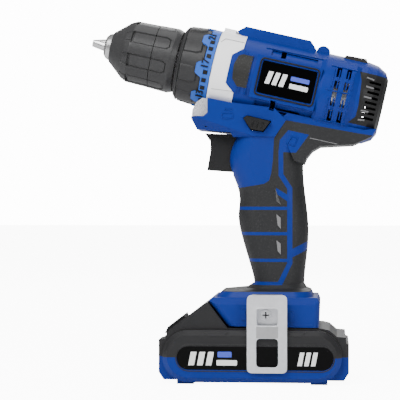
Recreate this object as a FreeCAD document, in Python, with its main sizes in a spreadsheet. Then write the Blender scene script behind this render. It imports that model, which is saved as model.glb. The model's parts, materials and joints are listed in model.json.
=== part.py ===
import FreeCAD, Part
import math
import os
import re

import Sketcher
from FreeCAD import Placement, Rotation, Vector

# A pistol-grip drill driver with a slide-on battery, in millimetres.
# Upright frame: x runs from the chuck end to the rear, y is across, z is up from the battery's feet.
# Barrel frame: x is up across the barrel, y is across, z runs forward along the spindle axis.

DIMENSIONS = {
    # where the two frames lie
    "origin_shift": 10.9,
    "axis_height": 184.7,
    "barrel_tilt": 13.0,
    "wide": 60.0,
    "run_gap": 0.3,
    # chuck
    "jaw_angle": 15.0,
    "jaw_radius": 3.0,
    "jaw_bore_gap": 0.06,
    "jaw_cross": 100.0,
    "jaw_tip": 104.3,
    "jaw_back": 70.0,
    "jaw_split_gap": 0.1,
    "panel_count": 8.0,
    "panel_width": 8.2,
    "panel_depth": 19.05,
    "panel_front": 78.6,
    "panel_back": 54.5,
    "panel_turn": 25.5,
    # clutch
    "facet_count": 16.0,
    "facet_radius": 23.75,
    "facet_width": 7.4,
    "facet_front": 47.0,
    "facet_back": 36.0,
    "spring_radius": 17.0,
    "spring_wire": 1.1,
    "spring_back": 27.2,
    "spring_length": 7.4,
    "spring_turns": 4.0,
    # gears
    "gear_module": 0.75,
    "sun_teeth": 12.0,
    "planet_teeth": 18.0,
    "ring_teeth": 48.0,
    "gear_backlash": 0.16,
    "planet_orbit": 11.25,
    "planet_bore": 2.55,
    "planet_pin": 2.5,
    "stage_one": 2.6,
    "stage_two": 13.0,
    "planet_length": 7.0,
    "ring_gear_radius": 20.6,
    "ring_gear_length": 8.4,
    # motor
    "motor_radius": 18.4,
    "motor_wall": 1.4,
    "magnet_inner": 12.4,
    "magnet_front": -8.0,
    "magnet_length": 38.0,
    "rotor_radius": 11.9,
    "rotor_front": -11.0,
    "rotor_length": 30.0,
    "rotor_poles": 12.0,
    "rotor_slot": 2.2,
    "shaft_radius": 1.6,
    "fan_radius": 17.2,
    "fan_blades": 11.0,
    # trigger
    "trigger_half": 8.0,
    "trigger_gap": 0.6,
    "trigger_travel": 6.5,
    # battery
    "battery_half": 39.9,
    "core_half": 32.5,
    "battery_centre": -0.8,
    "stadium_radius": 15.6,
    "stadium_reach": 38.0,
    "stadium_height": 16.9,
    "battery_split": 16.4,
    "battery_wall": 2.0,
    "cell_count": 5.0,
    "cell_radius": 9.1,
    "cell_length": 65.0,
    "cell_pitch": 18.8,
    "cell_height": 14.0,
    "label_radius": 7.0,
    "label_reach": 39.7,
    "label_height": 16.1,
    "label_centre": 1.2,
    "wing_bevel": 3.0,
    "label_depth": 1.2,
    # belt clip
    "clip_thickness": 1.2,
    "clip_outer": -42.4,
    "clip_inner": -33.4,
    "clip_screw_x": 7.6,
    "clip_screw_z": 41.6,
    # shells
    "foot_half": 33.0,
    "tail_half": 20.4,
    "ear_back": 8.8,
    "ear_length": 8.0,
    "collar_radius": 25.5,
    "collar_back": 10.1,
    "chin_half": 22.0,
    "shell_wall": 2.6,
    "channel_floor": 24.3,
    "rubber_depth": 1.6,
    "screw_shank": 1.6,
    "screw_head": 3.1,
    "boss_radius": 3.8,
}

# Outlines: corner points in the order that they are met. Upright ones are (x, z), barrel ones (x, z).
OUTLINES = {
    "chuck_body": [(5.1, 50), (17, 50), (17, 64), (9.4, 64), (9.4, 74), (14.3, 74), (14.3, 80),
                   (8.6, 92.1), (7.6, 94.6), (5.9, 96), (5.1, 96)],
    "chuck_nut": [(12.7, 64.9), (17.8, 64.9), (17.8, 73.2), (10.5, 73.2)],
    "front_sleeve": [(17.9, 64.7), (19.6, 64.7), (19.2, 78.9), (17.4, 82.6), (11.1, 89.9),
                     (9.5, 91.9), (9.5, 91.2), (14.9, 81.8), (15.2, 79.5), (17.9, 77)],
    "rear_sleeve": [(17.1, 49.4), (19, 49.4), (20.2, 52.6), (19.7, 64.3), (17.1, 64.3)],
    "spindle": [(0, 20.4), (13.6, 20.4), (13.6, 23.2), (7.9, 23.2), (7.9, 27.6), (5.9, 27.6),
                (5.9, 49.6), (5.0, 49.6), (5.0, 61.8), (2.1, 61.8), (2.1, 51.5), (0, 51.5)],
    "chuck_screw": [(0, 52), (2, 52), (2, 62), (3.8, 62), (3.8, 65.2), (0, 65.2)],
    "torque_ring": [(22, 26.4), (23.5, 26.4), (23.5, 31.6), (24.3, 31.6), (24.2, 33), (22.9, 46.5),
                    (20.6, 48.2), (8.5, 48.2), (8.5, 45.4), (22, 45.4)],
    "number_band": [(23.5, 26.4), (24.5, 26.4), (24.5, 31.6), (23.5, 31.6)],
    "gear_case": [(20.7, -2.4), (22.2, -2.4), (22.2, 10.2), (25.4, 10.2), (25.4, 25), (24.6, 26),
                  (13.4, 26), (13.4, 44.6), (8.6, 44.6), (8.6, 38.2), (11.1, 38.2), (11.1, 28.2),
                  (8.9, 28.2), (8.9, 24.3), (20.7, 24.3)],
    "spindle_bearing": [(5.95, 28.4), (11.1, 28.4), (11.1, 38), (5.95, 38)],
    "clutch_nut": [(13.7, 37), (21.6, 37), (21.6, 40.8), (13.7, 40.8)],
    "motor_can": [(3.2, -3), (18.4, -3), (18.4, -58), (17, -58), (17, -4.4), (3.2, -4.4)],
    "end_bell": [(3.6, -56), (17, -56), (17, -58.2), (18.4, -58.2), (18.4, -59.8), (3.6, -59.8)],
    "motor_bush_front": [(1.64, -5.6), (3.2, -5.6), (3.2, -2.6), (1.64, -2.6)],
    "motor_bush_back": [(1.64, -60), (3.6, -60), (3.6, -56), (1.64, -56)],
    "motor_rib_front": [(18.5, -12), (22.6, -12), (22.6, -10), (18.5, -10)],
    "motor_rib_back": [(18.5, -50), (22.6, -50), (22.6, -48), (18.5, -48)],
    "commutator": [(1.6, -53.5), (4.6, -53.5), (4.6, -44.5), (1.6, -44.5)],
    "fan_hub": [(1.6, -69), (5, -69), (5, -62.6), (17.2, -62.6), (17.2, -61.4), (1.6, -61.4)],
    "barrel": [(0, 10), (25.4, 10), (25.4, -66), (24.4, -72), (21.2, -77.4), (17, -79.6), (0, -79.6)],
    "barrel_hollow": [(0, 13), (22.3, 13), (22.3, -66), (21.4, -71), (18.6, -75), (15, -77), (0, -77)],
    "drum": [(22.4, -38), (25.4, -38), (27.2, -41), (27.2, -59.5), (25.4, -62.5), (22.4, -62.5)],
    # barrel side views: (up, forward)
    "drum_band": [(-20, -70), (20, -70), (20, -30), (-20, -30)],
    "ear": [(-12, 8.5), (-12, 10.4), (-7.4, 15.9), (10, 15.9), (15, 10.4), (15, 8.5)],
    "side_bumper": [(-8, 3), (-8, 9), (-4, 12.6), (4.5, 13.5), (10.4, 11.8), (11.8, 9.4), (11.8, 3)],
    "plate_boss": [(-12.5, 0.5), (13.5, 0.5), (13.5, -39.5), (-12.5, -39.5)],
    "name_plate": [(-8.9, -3.4), (10.9, -3.4), (10.9, -37), (-8.9, -37)],
    "top_rail": [(20, 10.1), (21.4, 10.1), (25.8, 17.2), (29.9, 12.6), (29.9, -28.1), (25.5, -32.4), (20, -32.4)],
    "top_bumper": [(23.2, -49.2), (26, -51.2), (26.4, -63.6), (23.2, -65.6)],
    "rear_zone": [(17.4, -61.4), (11.5, -63.6), (-3.5, -65), (-10, -64.8), (-14.4, -61), (-14.4, -90),
                  (17.4, -90)],
    "upper_channel": [(15.2, -7), (18.6, -7), (18.6, -35.5), (15.2, -35.5)],
    "lower_channel": [(-13.4, -3.4), (-18.4, -3.4), (-18.4, -39), (-13.4, -39)],
    "upper_slot": [(14.6, -13), (18.9, -13), (18.9, -16), (14.6, -16)],
    "lower_slot": [(-11.8, -13), (-17.6, -13), (-17.6, -16), (-11.8, -16)],
    # upright side views: (back, up)
    "chin": [(-38.6, 161), (-38.3, 159.4), (-35.4, 153.4), (-14.6, 151.4), (-13, 148.6), (12.4, 148.6),
             (19.2, 158.5), (12, 166), (-15, 169.4), (-28.4, 172.2), (-28.4, 163.4), (-31, 161)],
    "tail": [(14, 158), (24, 134), (29.8, 132), (31.5, 135.8), (34.9, 140), (39.7, 142.8), (60, 143.8),
             (71, 148.6), (73.4, 153), (66, 152.4), (20, 162.8)],
    "foot": [(-27, 49.6), (-15.2, 34.7), (39.1, 33.9), (39.6, 48.4), (38.2, 51.6), (-25.2, 51.6)],
    "foot_hollow": [(-21.5, 46.8), (-13.2, 43.6), (35, 43.6), (35, 48.6), (-20, 48.6)],
    "lens": [(-38.4, 161.4), (-38, 165.4), (-35.4, 170), (-31.6, 172.6), (-28.6, 172.6),
             (-28.6, 163.8), (-31.2, 161.4)],
    "led_board": [(-31, 158.4), (-24, 158.4), (-24, 160), (-31, 160)],
    "trigger": [(-31, 151.2), (-27.6, 146.2), (-27.6, 140), (-29.6, 128.6), (-6, 126.8), (-6, 150.6),
                (-14.4, 150.6)],
    "trigger_mouth": [(-45, 125.9), (1, 125.9), (1, 151.2), (-14, 151.2), (-45, 153.3)],
    "lever": [(-6.4, 159.6), (-4.2, 161), (9.8, 157.6), (5.4, 151.8), (-2, 153)],
    "lever_window": [(-7, 159.9), (-4.4, 161.5), (10.6, 157.9), (5.6, 151.2), (-2.3, 152.4)],
    "rubber_zone": [(19.2, 158.5), (62.6, 150.4), (90, 146), (90, 54.8), (-45, 54.8), (-45, 124),
                    (-12, 117.2), (5.6, 120), (8.7, 122), (10, 126), (11.2, 135), (11.8, 147.4)],
    "stripe_upper": [(14.6, 140), (17.4, 140), (17.4, 126), (22.9, 117.6), (22.9, 80.5), (40, 89),
                     (40, 84), (22.9, 75.4), (22.9, 71.7), (17.2, 59.6), (13.8, 59.6), (19.8, 71.7),
                     (19.8, 117), (14.6, 125)],
    "stripe_fork": [(13, 117.6), (20.4, 113), (20.4, 109), (13, 114.2)],
    "stripe_patch": [(20.6, 152.4), (33, 149.6), (25.1, 138.8), (14.6, 139.4), (15.4, 146.4)],
    "tail_core": [(14, 158), (24, 137), (28.6, 134.6), (30, 136.6), (33.9, 141.4), (39.2, 144.4),
                  (59.7, 145.4), (70, 149.8), (71, 153), (66, 152.4), (20, 162.8)],
    "battery_core": [(-57, 7), (-57, 26.4), (-53.2, 27), (-51.6, 31.2), (-28.4, 48.9), (-27.4, 48.9),
                     (-16, 34), (-15.7, 33.5), (41, 33.5), (45.4, 32.4), (49.8, 28.6), (55, 28.2),
                     (55.4, 24.6), (57, 24), (57, 7), (54, 2.4), (-54, 2.4)],
    "battery_hollow": [(-54, 8), (-54, 25), (-47, 31), (40, 31), (47, 26.5), (54, 22), (54, 8),
                       (52, 4.6), (-52, 4.6)],
    "battery_button": [(-55.4, 28.6), (-53.6, 32.4), (-50, 35.2), (-43.6, 40), (-42, 36), (-50.6, 28.6)],
    "button_well": [(-60, 25.6), (-60, 45), (-43, 41.2), (-41.4, 35.4), (-41.4, 25.6)],
}

# Horizontal cuts through the grip, then through its flare: height, front, back, half width, corner radius.
GRIP_CUTS = [
    (158, -14.6, 30, 21.8, 12), (140, -15, 29.6, 19.6, 13), (126, -14, 29.2, 17.8, 13),
    (115, -10.2, 30.2, 17.2, 13), (102, -10.5, 31.8, 17.2, 13), (89, -8.6, 32.4, 17.2, 13),
    (76, -4.9, 31.4, 17.2, 13), (63, -1.2, 30, 17.8, 13), (54.8, -0.8, 29.8, 17.8, 13),
    (60.4, 0.4, 28.9, 16.8, 11), (56.6, -5.5, 31.2, 20.5, 11), (55, -20, 34, 26, 10), (51, -24, 35.8, 28.2, 10),
]
FLARE_START = 10
STRIPE_LEVELS = [(104.2, 21), (88.8, 21), (72.6, 21), (58.6, 16.8)]
STRIPE_HEIGHT = 1.9
VENT_COLUMNS = [-49.5, -55.5]
VENT_SPANS = [(10.6, 16.6), (-7.1, 8.4), (-16.6, -9.4)]
VENT_WIDTH = 2.8
SHELL_SCREWS = [(-33.4, 157.2), (9, 66), (15, 110), (-13, 47), (34, 47.6), (28, 150)]
SHELL_SCREW_LENGTHS = [36, 30, 30, 56, 56, 34]

ALONG_Y = Rotation(Vector(1, 0, 0), -90)
ALONG_X = Rotation(Vector(0, 1, 0), 90)


def make_sheet():
    """Fill the spreadsheet: one named cell for each driving size and each outline coordinate."""
    rows = dict(DIMENSIONS)
    for name, points in OUTLINES.items():
        for index, (across, along) in enumerate(points, start=1):
            rows[f"{name}_a{index}"] = across
            rows[f"{name}_b{index}"] = along
    for index, (height, front, back, half, corner) in enumerate(GRIP_CUTS, start=1):
        rows[f"grip_height_a{index}"] = height
        rows[f"grip_front_a{index}"] = front
        rows[f"grip_back_a{index}"] = back
        rows[f"grip_half_a{index}"] = half
        rows[f"grip_corner_a{index}"] = corner
    table = doc.addObject("Spreadsheet::Sheet", "Sizes")
    for row, (name, value) in enumerate(rows.items(), start=1):
        table.set(f"A{row}", name)
        table.set(f"B{row}", str(value))
        table.setAlias(f"B{row}", name)
    doc.recompute()
    return table, rows


def bound(text):
    """Point every size name in a formula at its spreadsheet cell."""
    return re.sub(r"[a-z][a-z_0-9]*", lambda word: in_sheet(word.group()), str(text))


def in_sheet(word):
    return f"Sizes.{word}" if word in cells else word


def size(text):
    """The present value of a formula."""
    return float(sheet.evalExpression(bound(text)))


def link(item, prop, text):
    """Bind one property to a formula on the spreadsheet."""
    item.setExpression(prop, bound(text))


def place(item, x="0", y="0", z="0", turn=None):
    """Put an item at bound coordinates of its own frame."""
    rotation = turn if turn is not None else Rotation()
    item.Placement = Placement(Vector(size(x), size(y), size(z)), rotation)
    for axis, text in (("x", x), ("y", y), ("z", z)):
        if text != "0":
            link(item, f"Placement.Base.{axis}", text)
    return item


def barrel_turn():
    """The rotation from the barrel frame to the upright frame."""
    return Rotation(Vector(0, 1, 0), size("barrel_tilt - 90"))


def free_to_place(item):
    """Wrap a primitive that already has a place of its own, so that the wrapper can be moved."""
    if item.ExpressionEngine or not item.Placement.isIdentity():
        return group(item.Name + "Holder", [item])
    return item


def in_barrel(item, x_text="0"):
    """Tilt a piece from the barrel frame into the upright frame."""
    return place(free_to_place(item), x=x_text, z="axis_height", turn=barrel_turn())


def keep_upright(item, label):
    """Name a finished upright piece and shift it onto the model's origin."""
    return keep(place(free_to_place(item), x="origin_shift"), label)


def keep_barrel(item, label):
    """Name a finished barrel piece, tilt it and shift it onto the model's origin."""
    return keep(in_barrel(item, "origin_shift"), label)


def keep(item, label):
    item.Label = label
    finished.append(item)
    return item


def new_body(name):
    return doc.addObject("PartDesign::Body", name)


def plane_of(body, role):
    return next(item for item in body.Origin.OriginFeatures if item.Role == role)


def outline_sketch(body, name, outline, offset="0"):
    """A closed outline on the body's XZ plane, each corner held by two bound distances."""
    sketch = body.newObject("Sketcher::SketchObject", name + "Sketch")
    sketch.AttachmentSupport = [(plane_of(body, "XZ_Plane"), "")]
    sketch.MapMode = "FlatFace"
    if offset != "0":
        link(sketch, "AttachmentOffset.Base.z", offset)
    points = OUTLINES[outline]
    count = len(points)
    for index in range(count):
        start = Vector(*points[index], 0)
        end = Vector(*points[(index + 1) % count], 0)
        sketch.addGeometry(Part.LineSegment(start, end), False)
    for index in range(count):
        sketch.addConstraint(Sketcher.Constraint("Coincident", index, 2, (index + 1) % count, 1))
    for index in range(count):
        for kind, part, value in (("DistanceX", "a", points[index][0]), ("DistanceY", "b", points[index][1])):
            held = sketch.addConstraint(Sketcher.Constraint(kind, -1, 1, index, 1, float(value)))
            link(sketch, f"Constraints[{held}]", f"{outline}_{part}{index + 1}")
    return sketch


def turned(name, outline):
    """A piece turned about z from its half section."""
    body = new_body(name)
    sketch = outline_sketch(body, name, outline)
    spin = body.newObject("PartDesign::Revolution", name + "Turn")
    spin.Profile = sketch
    spin.ReferenceAxis = (sketch, ["V_Axis"])
    spin.Angle = 360
    return body


def slab(name, outline, low, high):
    """A side view extruded across, from y = low to y = high."""
    body = new_body(name)
    sketch = outline_sketch(body, name, outline, f"-({high})")
    pad = body.newObject("PartDesign::Pad", name + "Pad")
    pad.Profile = sketch
    link(pad, "Length", f"({high}) - ({low})")
    return body


def side(name, outline, low, high):
    """A barrel side view, given as (up, forward), extruded across."""
    return slab(name, outline, low, high)


def cylinder(name, radius, length, x="0", y="0", z="0", turn=None):
    item = doc.addObject("Part::Cylinder", name)
    link(item, "Radius", radius)
    link(item, "Height", length)
    return place(item, x, y, z, turn)


def box(name, x, y, z, length, width, height):
    item = doc.addObject("Part::Box", name)
    link(item, "Length", length)
    link(item, "Width", width)
    link(item, "Height", height)
    return place(item, x, y, z)


def fuse(name, items):
    item = doc.addObject("Part::MultiFuse", name)
    item.Shapes = items
    item.Refine = True
    return item


def cut(name, base, tool):
    item = doc.addObject("Part::Cut", name)
    item.Base = base
    item.Tool = tool
    return item


def common(name, items):
    item = doc.addObject("Part::MultiCommon", name)
    item.Shapes = items
    return item


def group(name, items):
    item = doc.addObject("Part::Compound", name)
    item.Links = items
    return item


def round_edges(name, base, radius, wanted):
    """Round the edges that a test picks out."""
    doc.recompute()
    item = doc.addObject("Part::Fillet", name)
    item.Base = base
    edges = enumerate(base.Shape.Edges, start=1)
    item.Edges = [(index, radius, radius) for index, edge in edges if wanted(edge)]
    return item


def around(name, make, count, first=0.0):
    """Make one tool several times round the z axis and join the copies."""
    items = [spun(make(f"{name}{index + 1}"), first + 360.0 * index / count) for index in range(count)]
    return fuse(name, items)


def spun(item, angle):
    """Turn an item about the z axis and turn the formulas of its place with it."""
    held = {path.split(".")[-1]: text for path, text in item.ExpressionEngine if "Placement.Base" in path}
    x_text = held.get("x", str(item.Placement.Base.x))
    y_text = held.get("y", str(item.Placement.Base.y))
    cosine, sine = math.cos(math.radians(angle)), math.sin(math.radians(angle))
    spin = Placement(Vector(), Rotation(Vector(0, 0, 1), angle))
    item.Placement = spin.multiply(item.Placement)
    item.setExpression("Placement.Base.x", f"({x_text}) * {cosine:.9f} - ({y_text}) * {sine:.9f}")
    item.setExpression("Placement.Base.y", f"({x_text}) * {sine:.9f} + ({y_text}) * {cosine:.9f}")
    return item


# ---------------------------------------------------------------- chuck

def jaw_line(name, radius, back, front):
    """A round bar along a jaw's slanted line, from one station to another."""
    slope = math.radians(size("jaw_angle"))
    length = (front - back) / math.cos(slope)
    item = doc.addObject("Part::Cylinder", name)
    link(item, "Radius", radius)
    item.Height = length
    turn = Rotation(Vector(0, 1, 0), -size("jaw_angle"))
    item.Placement = Placement(Vector((size("jaw_cross") - back) * math.tan(slope), 0, back), turn)
    return item


def make_jaw(index, angle):
    """One of three jaws: a slanted round bar cut to its own third round the bit."""
    bar = jaw_line(f"JawBar{index}", "jaw_radius", size("jaw_back"), size("jaw_tip") + 4)
    end = box(f"JawEnd{index}", "-wide", "-wide", "jaw_tip", "wide * 2", "wide * 2", "wide")
    blank = cut(f"JawBlank{index}", bar, end)
    body = new_body(f"JawThird{index}")
    sketch = body.newObject("Sketcher::SketchObject", f"JawThirdSketch{index}")
    sketch.AttachmentSupport = [(plane_of(body, "XY_Plane"), "")]
    sketch.MapMode = "FlatFace"
    reach = size("wide")
    near = size("jaw_split_gap")
    corners = [Vector(near, 0, 0)]
    for turn in (-60, 60):
        slant = math.radians(turn)
        corners.append(Vector(near + reach * math.cos(slant), reach * math.sin(slant), 0))
    for number in range(3):
        sketch.addGeometry(Part.LineSegment(corners[number], corners[(number + 1) % 3]), False)
    for number in range(3):
        sketch.addConstraint(Sketcher.Constraint("Coincident", number, 2, (number + 1) % 3, 1))
    pad = body.newObject("PartDesign::Pad", f"JawThirdPad{index}")
    pad.Profile = sketch
    link(pad, "Length", "jaw_tip * 1.1")
    holder = common(f"Jaw{index}", [blank, body])
    turn = barrel_turn().multiply(Rotation(Vector(0, 0, 1), angle))
    return keep(place(holder, x="origin_shift", z="axis_height", turn=turn), f"jaw_{index}")


def sleeve_panels(name):
    """The row of flat-bottomed recesses that both sleeves share."""
    def one(title):
        return box(title, "panel_depth", "-panel_width / 2", "panel_back", "wide", "panel_width",
                   "panel_front - panel_back")
    return around(name, one, int(size("panel_count")), size("panel_turn"))


def make_chuck():
    """The keyless chuck: body, nut, jaws, screw and the two hand sleeves."""
    bores = around("JawBore", lambda name: jaw_line(name, "jaw_radius + jaw_bore_gap", 46, 100), 3)
    keep_barrel(cut("ChuckBody", turned("ChuckBlank", "chuck_body"), bores), "chuck_body")
    keep_barrel(turned("ChuckNut", "chuck_nut"), "chuck_nut")
    front = cut("FrontSleeve", turned("FrontSleeveBlank", "front_sleeve"), sleeve_panels("FrontPanels"))
    keep_barrel(front, "front_sleeve")
    rear = cut("RearSleeve", turned("RearSleeveBlank", "rear_sleeve"), sleeve_panels("RearPanels"))
    keep_barrel(rear, "rear_sleeve")
    keep_barrel(turned("ChuckScrew", "chuck_screw"), "chuck_screw")
    for index in range(3):
        make_jaw(index + 1, 120.0 * index)


# ---------------------------------------------------------------- clutch and gears

def helix_spring(name, radius, wire, length, turns):
    """A round-wire coil spring along z, from z = 0."""
    pitch = (length - 2 * wire) / turns
    spine = Part.makeHelix(pitch, length - 2 * wire, radius)
    round_wire = Part.Wire(Part.makeCircle(wire, Vector(radius, 0, 0), Vector(0, 1, 0)))
    coil = Part.Wire(spine.Edges).makePipeShell([round_wire], True, True)
    item = doc.addObject("Part::Feature", name)
    item.Shape = coil
    return item


def gear_outline(teeth, outside, root, half_tip, half_root, turn=0.0):
    """Corner points of a straight-flanked gear with its first tooth at the given angle from +x."""
    points = []
    for tooth in range(teeth):
        middle = math.radians(turn) + 2 * math.pi * tooth / teeth
        for radius, lean in ((root, -half_root), (outside, -half_tip), (outside, half_tip), (root, half_root)):
            angle = middle + lean / radius
            points.append(Vector(radius * math.cos(angle), radius * math.sin(angle), 0))
    points.append(points[0])
    return Part.makePolygon(points)


def gear_solid(name, teeth, length, bore, turn=0.0):
    """An outside gear: addendum and dedendum from the module, flanks thinned by the backlash."""
    module = size("gear_module")
    pitch = module * teeth / 2
    thick = module * math.pi / 2 - size("gear_backlash")
    wire = gear_outline(teeth, pitch + 0.85 * module, pitch - 1.2 * module, thick * 0.24, thick * 0.72, turn)
    solid = Part.Face(wire).extrude(Vector(0, 0, length))
    if bore > 0:
        solid = solid.cut(Part.makeCylinder(bore, length))
    item = doc.addObject("Part::Feature", name)
    item.Shape = solid
    return item


def ring_gear(name, length):
    """An inside gear cut from a plain ring."""
    module = size("gear_module")
    teeth = int(size("ring_teeth"))
    pitch = module * teeth / 2
    gap = module * math.pi / 2 + size("gear_backlash")
    wire = gear_outline(teeth, pitch + 1.25 * module, pitch - 0.8 * module, gap * 0.3, gap * 0.74, 180.0 / teeth)
    cutter = Part.Face(wire).extrude(Vector(0, 0, length))
    item = doc.addObject("Part::Feature", name)
    item.Shape = Part.makeCylinder(size("ring_gear_radius"), length).cut(cutter)
    return item


def carrier_pins(name, start, length):
    """Three planet pins round the axis."""
    return around(name, lambda title: cylinder(title, "planet_pin", length, x="planet_orbit", z=start), 3)


def make_planets(stage, station):
    """Three planets of one stage, each a piece of its own."""
    half_tooth = 180.0 / size("planet_teeth")
    for index in range(3):
        gear = gear_solid(f"Planet{stage}{index + 1}", int(size("planet_teeth")), size("planet_length"),
                          size("planet_bore"), half_tooth)
        angle = math.radians(120 * index)
        orbit = size("planet_orbit")
        spot = Vector(orbit * math.cos(angle), orbit * math.sin(angle), size(station))
        gear.Placement.Base = spot
        keep_barrel(gear, f"planet_{stage}_{index + 1}")


def make_gearbox():
    """Two planetary stages inside the case: ring gears, planets, carriers and sun gears."""
    rings = [place(ring_gear(f"RingGear{stage}", size("ring_gear_length")), z=station)
             for stage, station in (("One", "stage_one - 0.7"), ("Two", "stage_two - 0.7"))]
    keep_barrel(group("RingGears", rings), "ring_gears")
    pinion = gear_solid("Pinion", int(size("sun_teeth")), 9.6, size("shaft_radius"))
    pinion.Placement.Base.z = -0.4
    keep_barrel(pinion, "motor_pinion")
    disc = cylinder("CarrierDisc", "14", "1.9", z="stage_one + planet_length + 0.6")
    sun = gear_solid("SunTwo", int(size("sun_teeth")), 8.1, 0)
    sun.Placement.Base.z = size("stage_one + planet_length + 2.4")
    pins = carrier_pins("CarrierPins", "stage_one", "planet_length + 0.8")
    keep_barrel(fuse("CarrierOne", [disc, sun, pins]), "planet_carrier")
    output_pins = carrier_pins("SpindlePins", "stage_two", "planet_length + 0.8")
    keep_barrel(fuse("SpindleWhole", [turned("Spindle", "spindle"), output_pins]), "spindle")
    make_planets("one", "stage_one")
    make_planets("two", "stage_two")
    keep_barrel(turned("SpindleBearing", "spindle_bearing"), "spindle_bearing")


def make_clutch():
    """The torque collar that is turned by hand, its number band, its nut and spring."""
    def facet(title):
        return box(title, "facet_radius", "-facet_width / 2", "facet_back", "wide", "facet_width",
                   "facet_front + 4 - facet_back")
    facets = around("Facets", facet, int(size("facet_count")))
    keep_barrel(cut("TorqueRing", turned("TorqueBlank", "torque_ring"), facets), "torque_ring")
    keep_barrel(turned("NumberBand", "number_band"), "number_band")
    keep_barrel(turned("ClutchNut", "clutch_nut"), "clutch_nut")
    spring = helix_spring("ClutchSpring", size("spring_radius"), size("spring_wire"),
                          size("spring_length + 2 * spring_wire"), size("spring_turns"))
    spring.Placement.Base.z = size("spring_back + spring_wire")
    keep_barrel(spring, "clutch_spring")


# ---------------------------------------------------------------- motor

def make_motor():
    """The brushed motor: can, magnets, end bell, brushes, rotor and fan."""
    keep_barrel(turned("MotorCan", "motor_can"), "motor_can")
    keep_barrel(turned("EndBell", "end_bell"), "motor_end_bell")
    outer = cylinder("MagnetOuter", "motor_radius - motor_wall", "magnet_length",
                     z="magnet_front - magnet_length")
    inner = cylinder("MagnetInner", "magnet_inner", "magnet_length", z="magnet_front - magnet_length")
    split = box("MagnetSplit", "-wide", "-4", "-wide", "wide * 2", "8", "wide * 2")
    keep_barrel(cut("Magnets", cut("MagnetRing", outer, inner), split), "motor_magnets")
    bushes = [turned("BushFront", "motor_bush_front"), turned("BushBack", "motor_bush_back")]
    keep_barrel(group("Bushes", bushes), "motor_bushes")
    brushes = [box(f"Brush{number}", "-2", low, "-51.5", "4", "6.8", "5")
               for number, low in ((1, "4.7"), (2, "-11.5"))]
    keep_barrel(group("Brushes", brushes), "motor_brushes")
    keep_barrel(cylinder("RotorShaft", "shaft_radius", "81", z="-71.5"), "rotor_shaft")
    core = cut("RotorRound", cylinder("RotorOuter", "rotor_radius", "rotor_length",
                                      z="rotor_front - rotor_length"),
               cylinder("RotorBore", "shaft_radius", "rotor_length", z="rotor_front - rotor_length"))

    def slot(title):
        return box(title, "rotor_radius - 4", "-rotor_slot / 2", "-wide", "8", "rotor_slot", "wide * 2")
    poles = int(size("rotor_poles"))
    keep_barrel(cut("RotorCore", core, around("RotorSlot", slot, poles)), "rotor_core")
    ends = []
    for number, low in ((1, "rotor_front"), (2, "rotor_front - rotor_length - 3")):
        ring = cut(f"Winding{number}", cylinder(f"WindingOuter{number}", "rotor_radius - 1.4", "3", z=low),
                   cylinder(f"WindingBore{number}", "shaft_radius + 1", "3", z=low))
        ends.append(ring)
    keep_barrel(group("Windings", ends), "rotor_windings")
    keep_barrel(turned("Commutator", "commutator"), "commutator")

    def blade(title):
        return box(title, "4.6", "-0.6", "-68.6", "fan_radius - 4.6", "1.2", "6.4")
    blades = around("FanBlade", blade, int(size("fan_blades")))
    keep_barrel(fuse("Fan", [turned("FanHub", "fan_hub"), blades]), "cooling_fan")


# ---------------------------------------------------------------- shells

def grip_section(body, index):
    """One rounded rectangle across the grip, level with its height."""
    front, back, half, corner = GRIP_CUTS[index - 1][1:]
    sketch = body.newObject("Sketcher::SketchObject", f"{body.Name}Cut{index}")
    sketch.AttachmentSupport = [(plane_of(body, "XY_Plane"), "")]
    sketch.MapMode = "FlatFace"
    return sketch, front, back, half, corner


def rounded_rectangle(sketch, front, back, half, corner, texts):
    """Four sides and four tangent arcs, bound by the four texts: front, back, half width, corner."""
    middle_low, middle_high = front + corner, back - corner
    side_y = half - corner
    lines = [((middle_low, -half), (middle_high, -half)), ((back, -side_y), (back, side_y)),
             ((middle_high, half), (middle_low, half)), ((front, side_y), (front, -side_y))]
    for start, end in lines:
        sketch.addGeometry(Part.LineSegment(Vector(*start, 0), Vector(*end, 0)), False)
    centres = [(middle_high, -side_y, -90), (middle_high, side_y, 0), (middle_low, side_y, 90),
               (middle_low, -side_y, 180)]
    for x, y, start in centres:
        circle = Part.Circle(Vector(x, y, 0), Vector(0, 0, 1), corner)
        sweep = (math.radians(start), math.radians(start + 90))
        sketch.addGeometry(Part.ArcOfCircle(circle, *sweep), False)
    for index in range(4):
        sketch.addConstraint(Sketcher.Constraint("Tangent", index, 2, 4 + index, 1))
        sketch.addConstraint(Sketcher.Constraint("Tangent", 4 + index, 2, (index + 1) % 4, 1))
    sketch.addConstraint(Sketcher.Constraint("Horizontal", 0))
    sketch.addConstraint(Sketcher.Constraint("Vertical", 1))
    for index in range(5, 8):
        sketch.addConstraint(Sketcher.Constraint("Equal", 4, index))
    held = [("Radius", (4,), corner, texts[3]), ("DistanceX", (-1, 1, 3, 1), front, texts[0]),
            ("DistanceX", (-1, 1, 1, 1), back, texts[1]), ("DistanceY", (-1, 1, 2, 1), half, texts[2]),
            ("DistanceY", (-1, 1, 0, 1), -half, f"-({texts[2]})")]
    for kind, where, value, text in held:
        number = sketch.addConstraint(Sketcher.Constraint(kind, *where, float(value)))
        link(sketch, f"Constraints[{number}]", text)


def grip_solid(name, inset):
    """The grip as one smooth loft over a straight-sided flare, both drawn in by a bound amount."""
    last = len(GRIP_CUTS)
    stem = grip_loft(name + "Stem", inset, range(1, FLARE_START))
    lower = [grip_loft(f"{name}Flare{index}", inset, (index, index + 1)) for index in range(FLARE_START, last)]
    return fuse(name, [stem] + lower)


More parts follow.
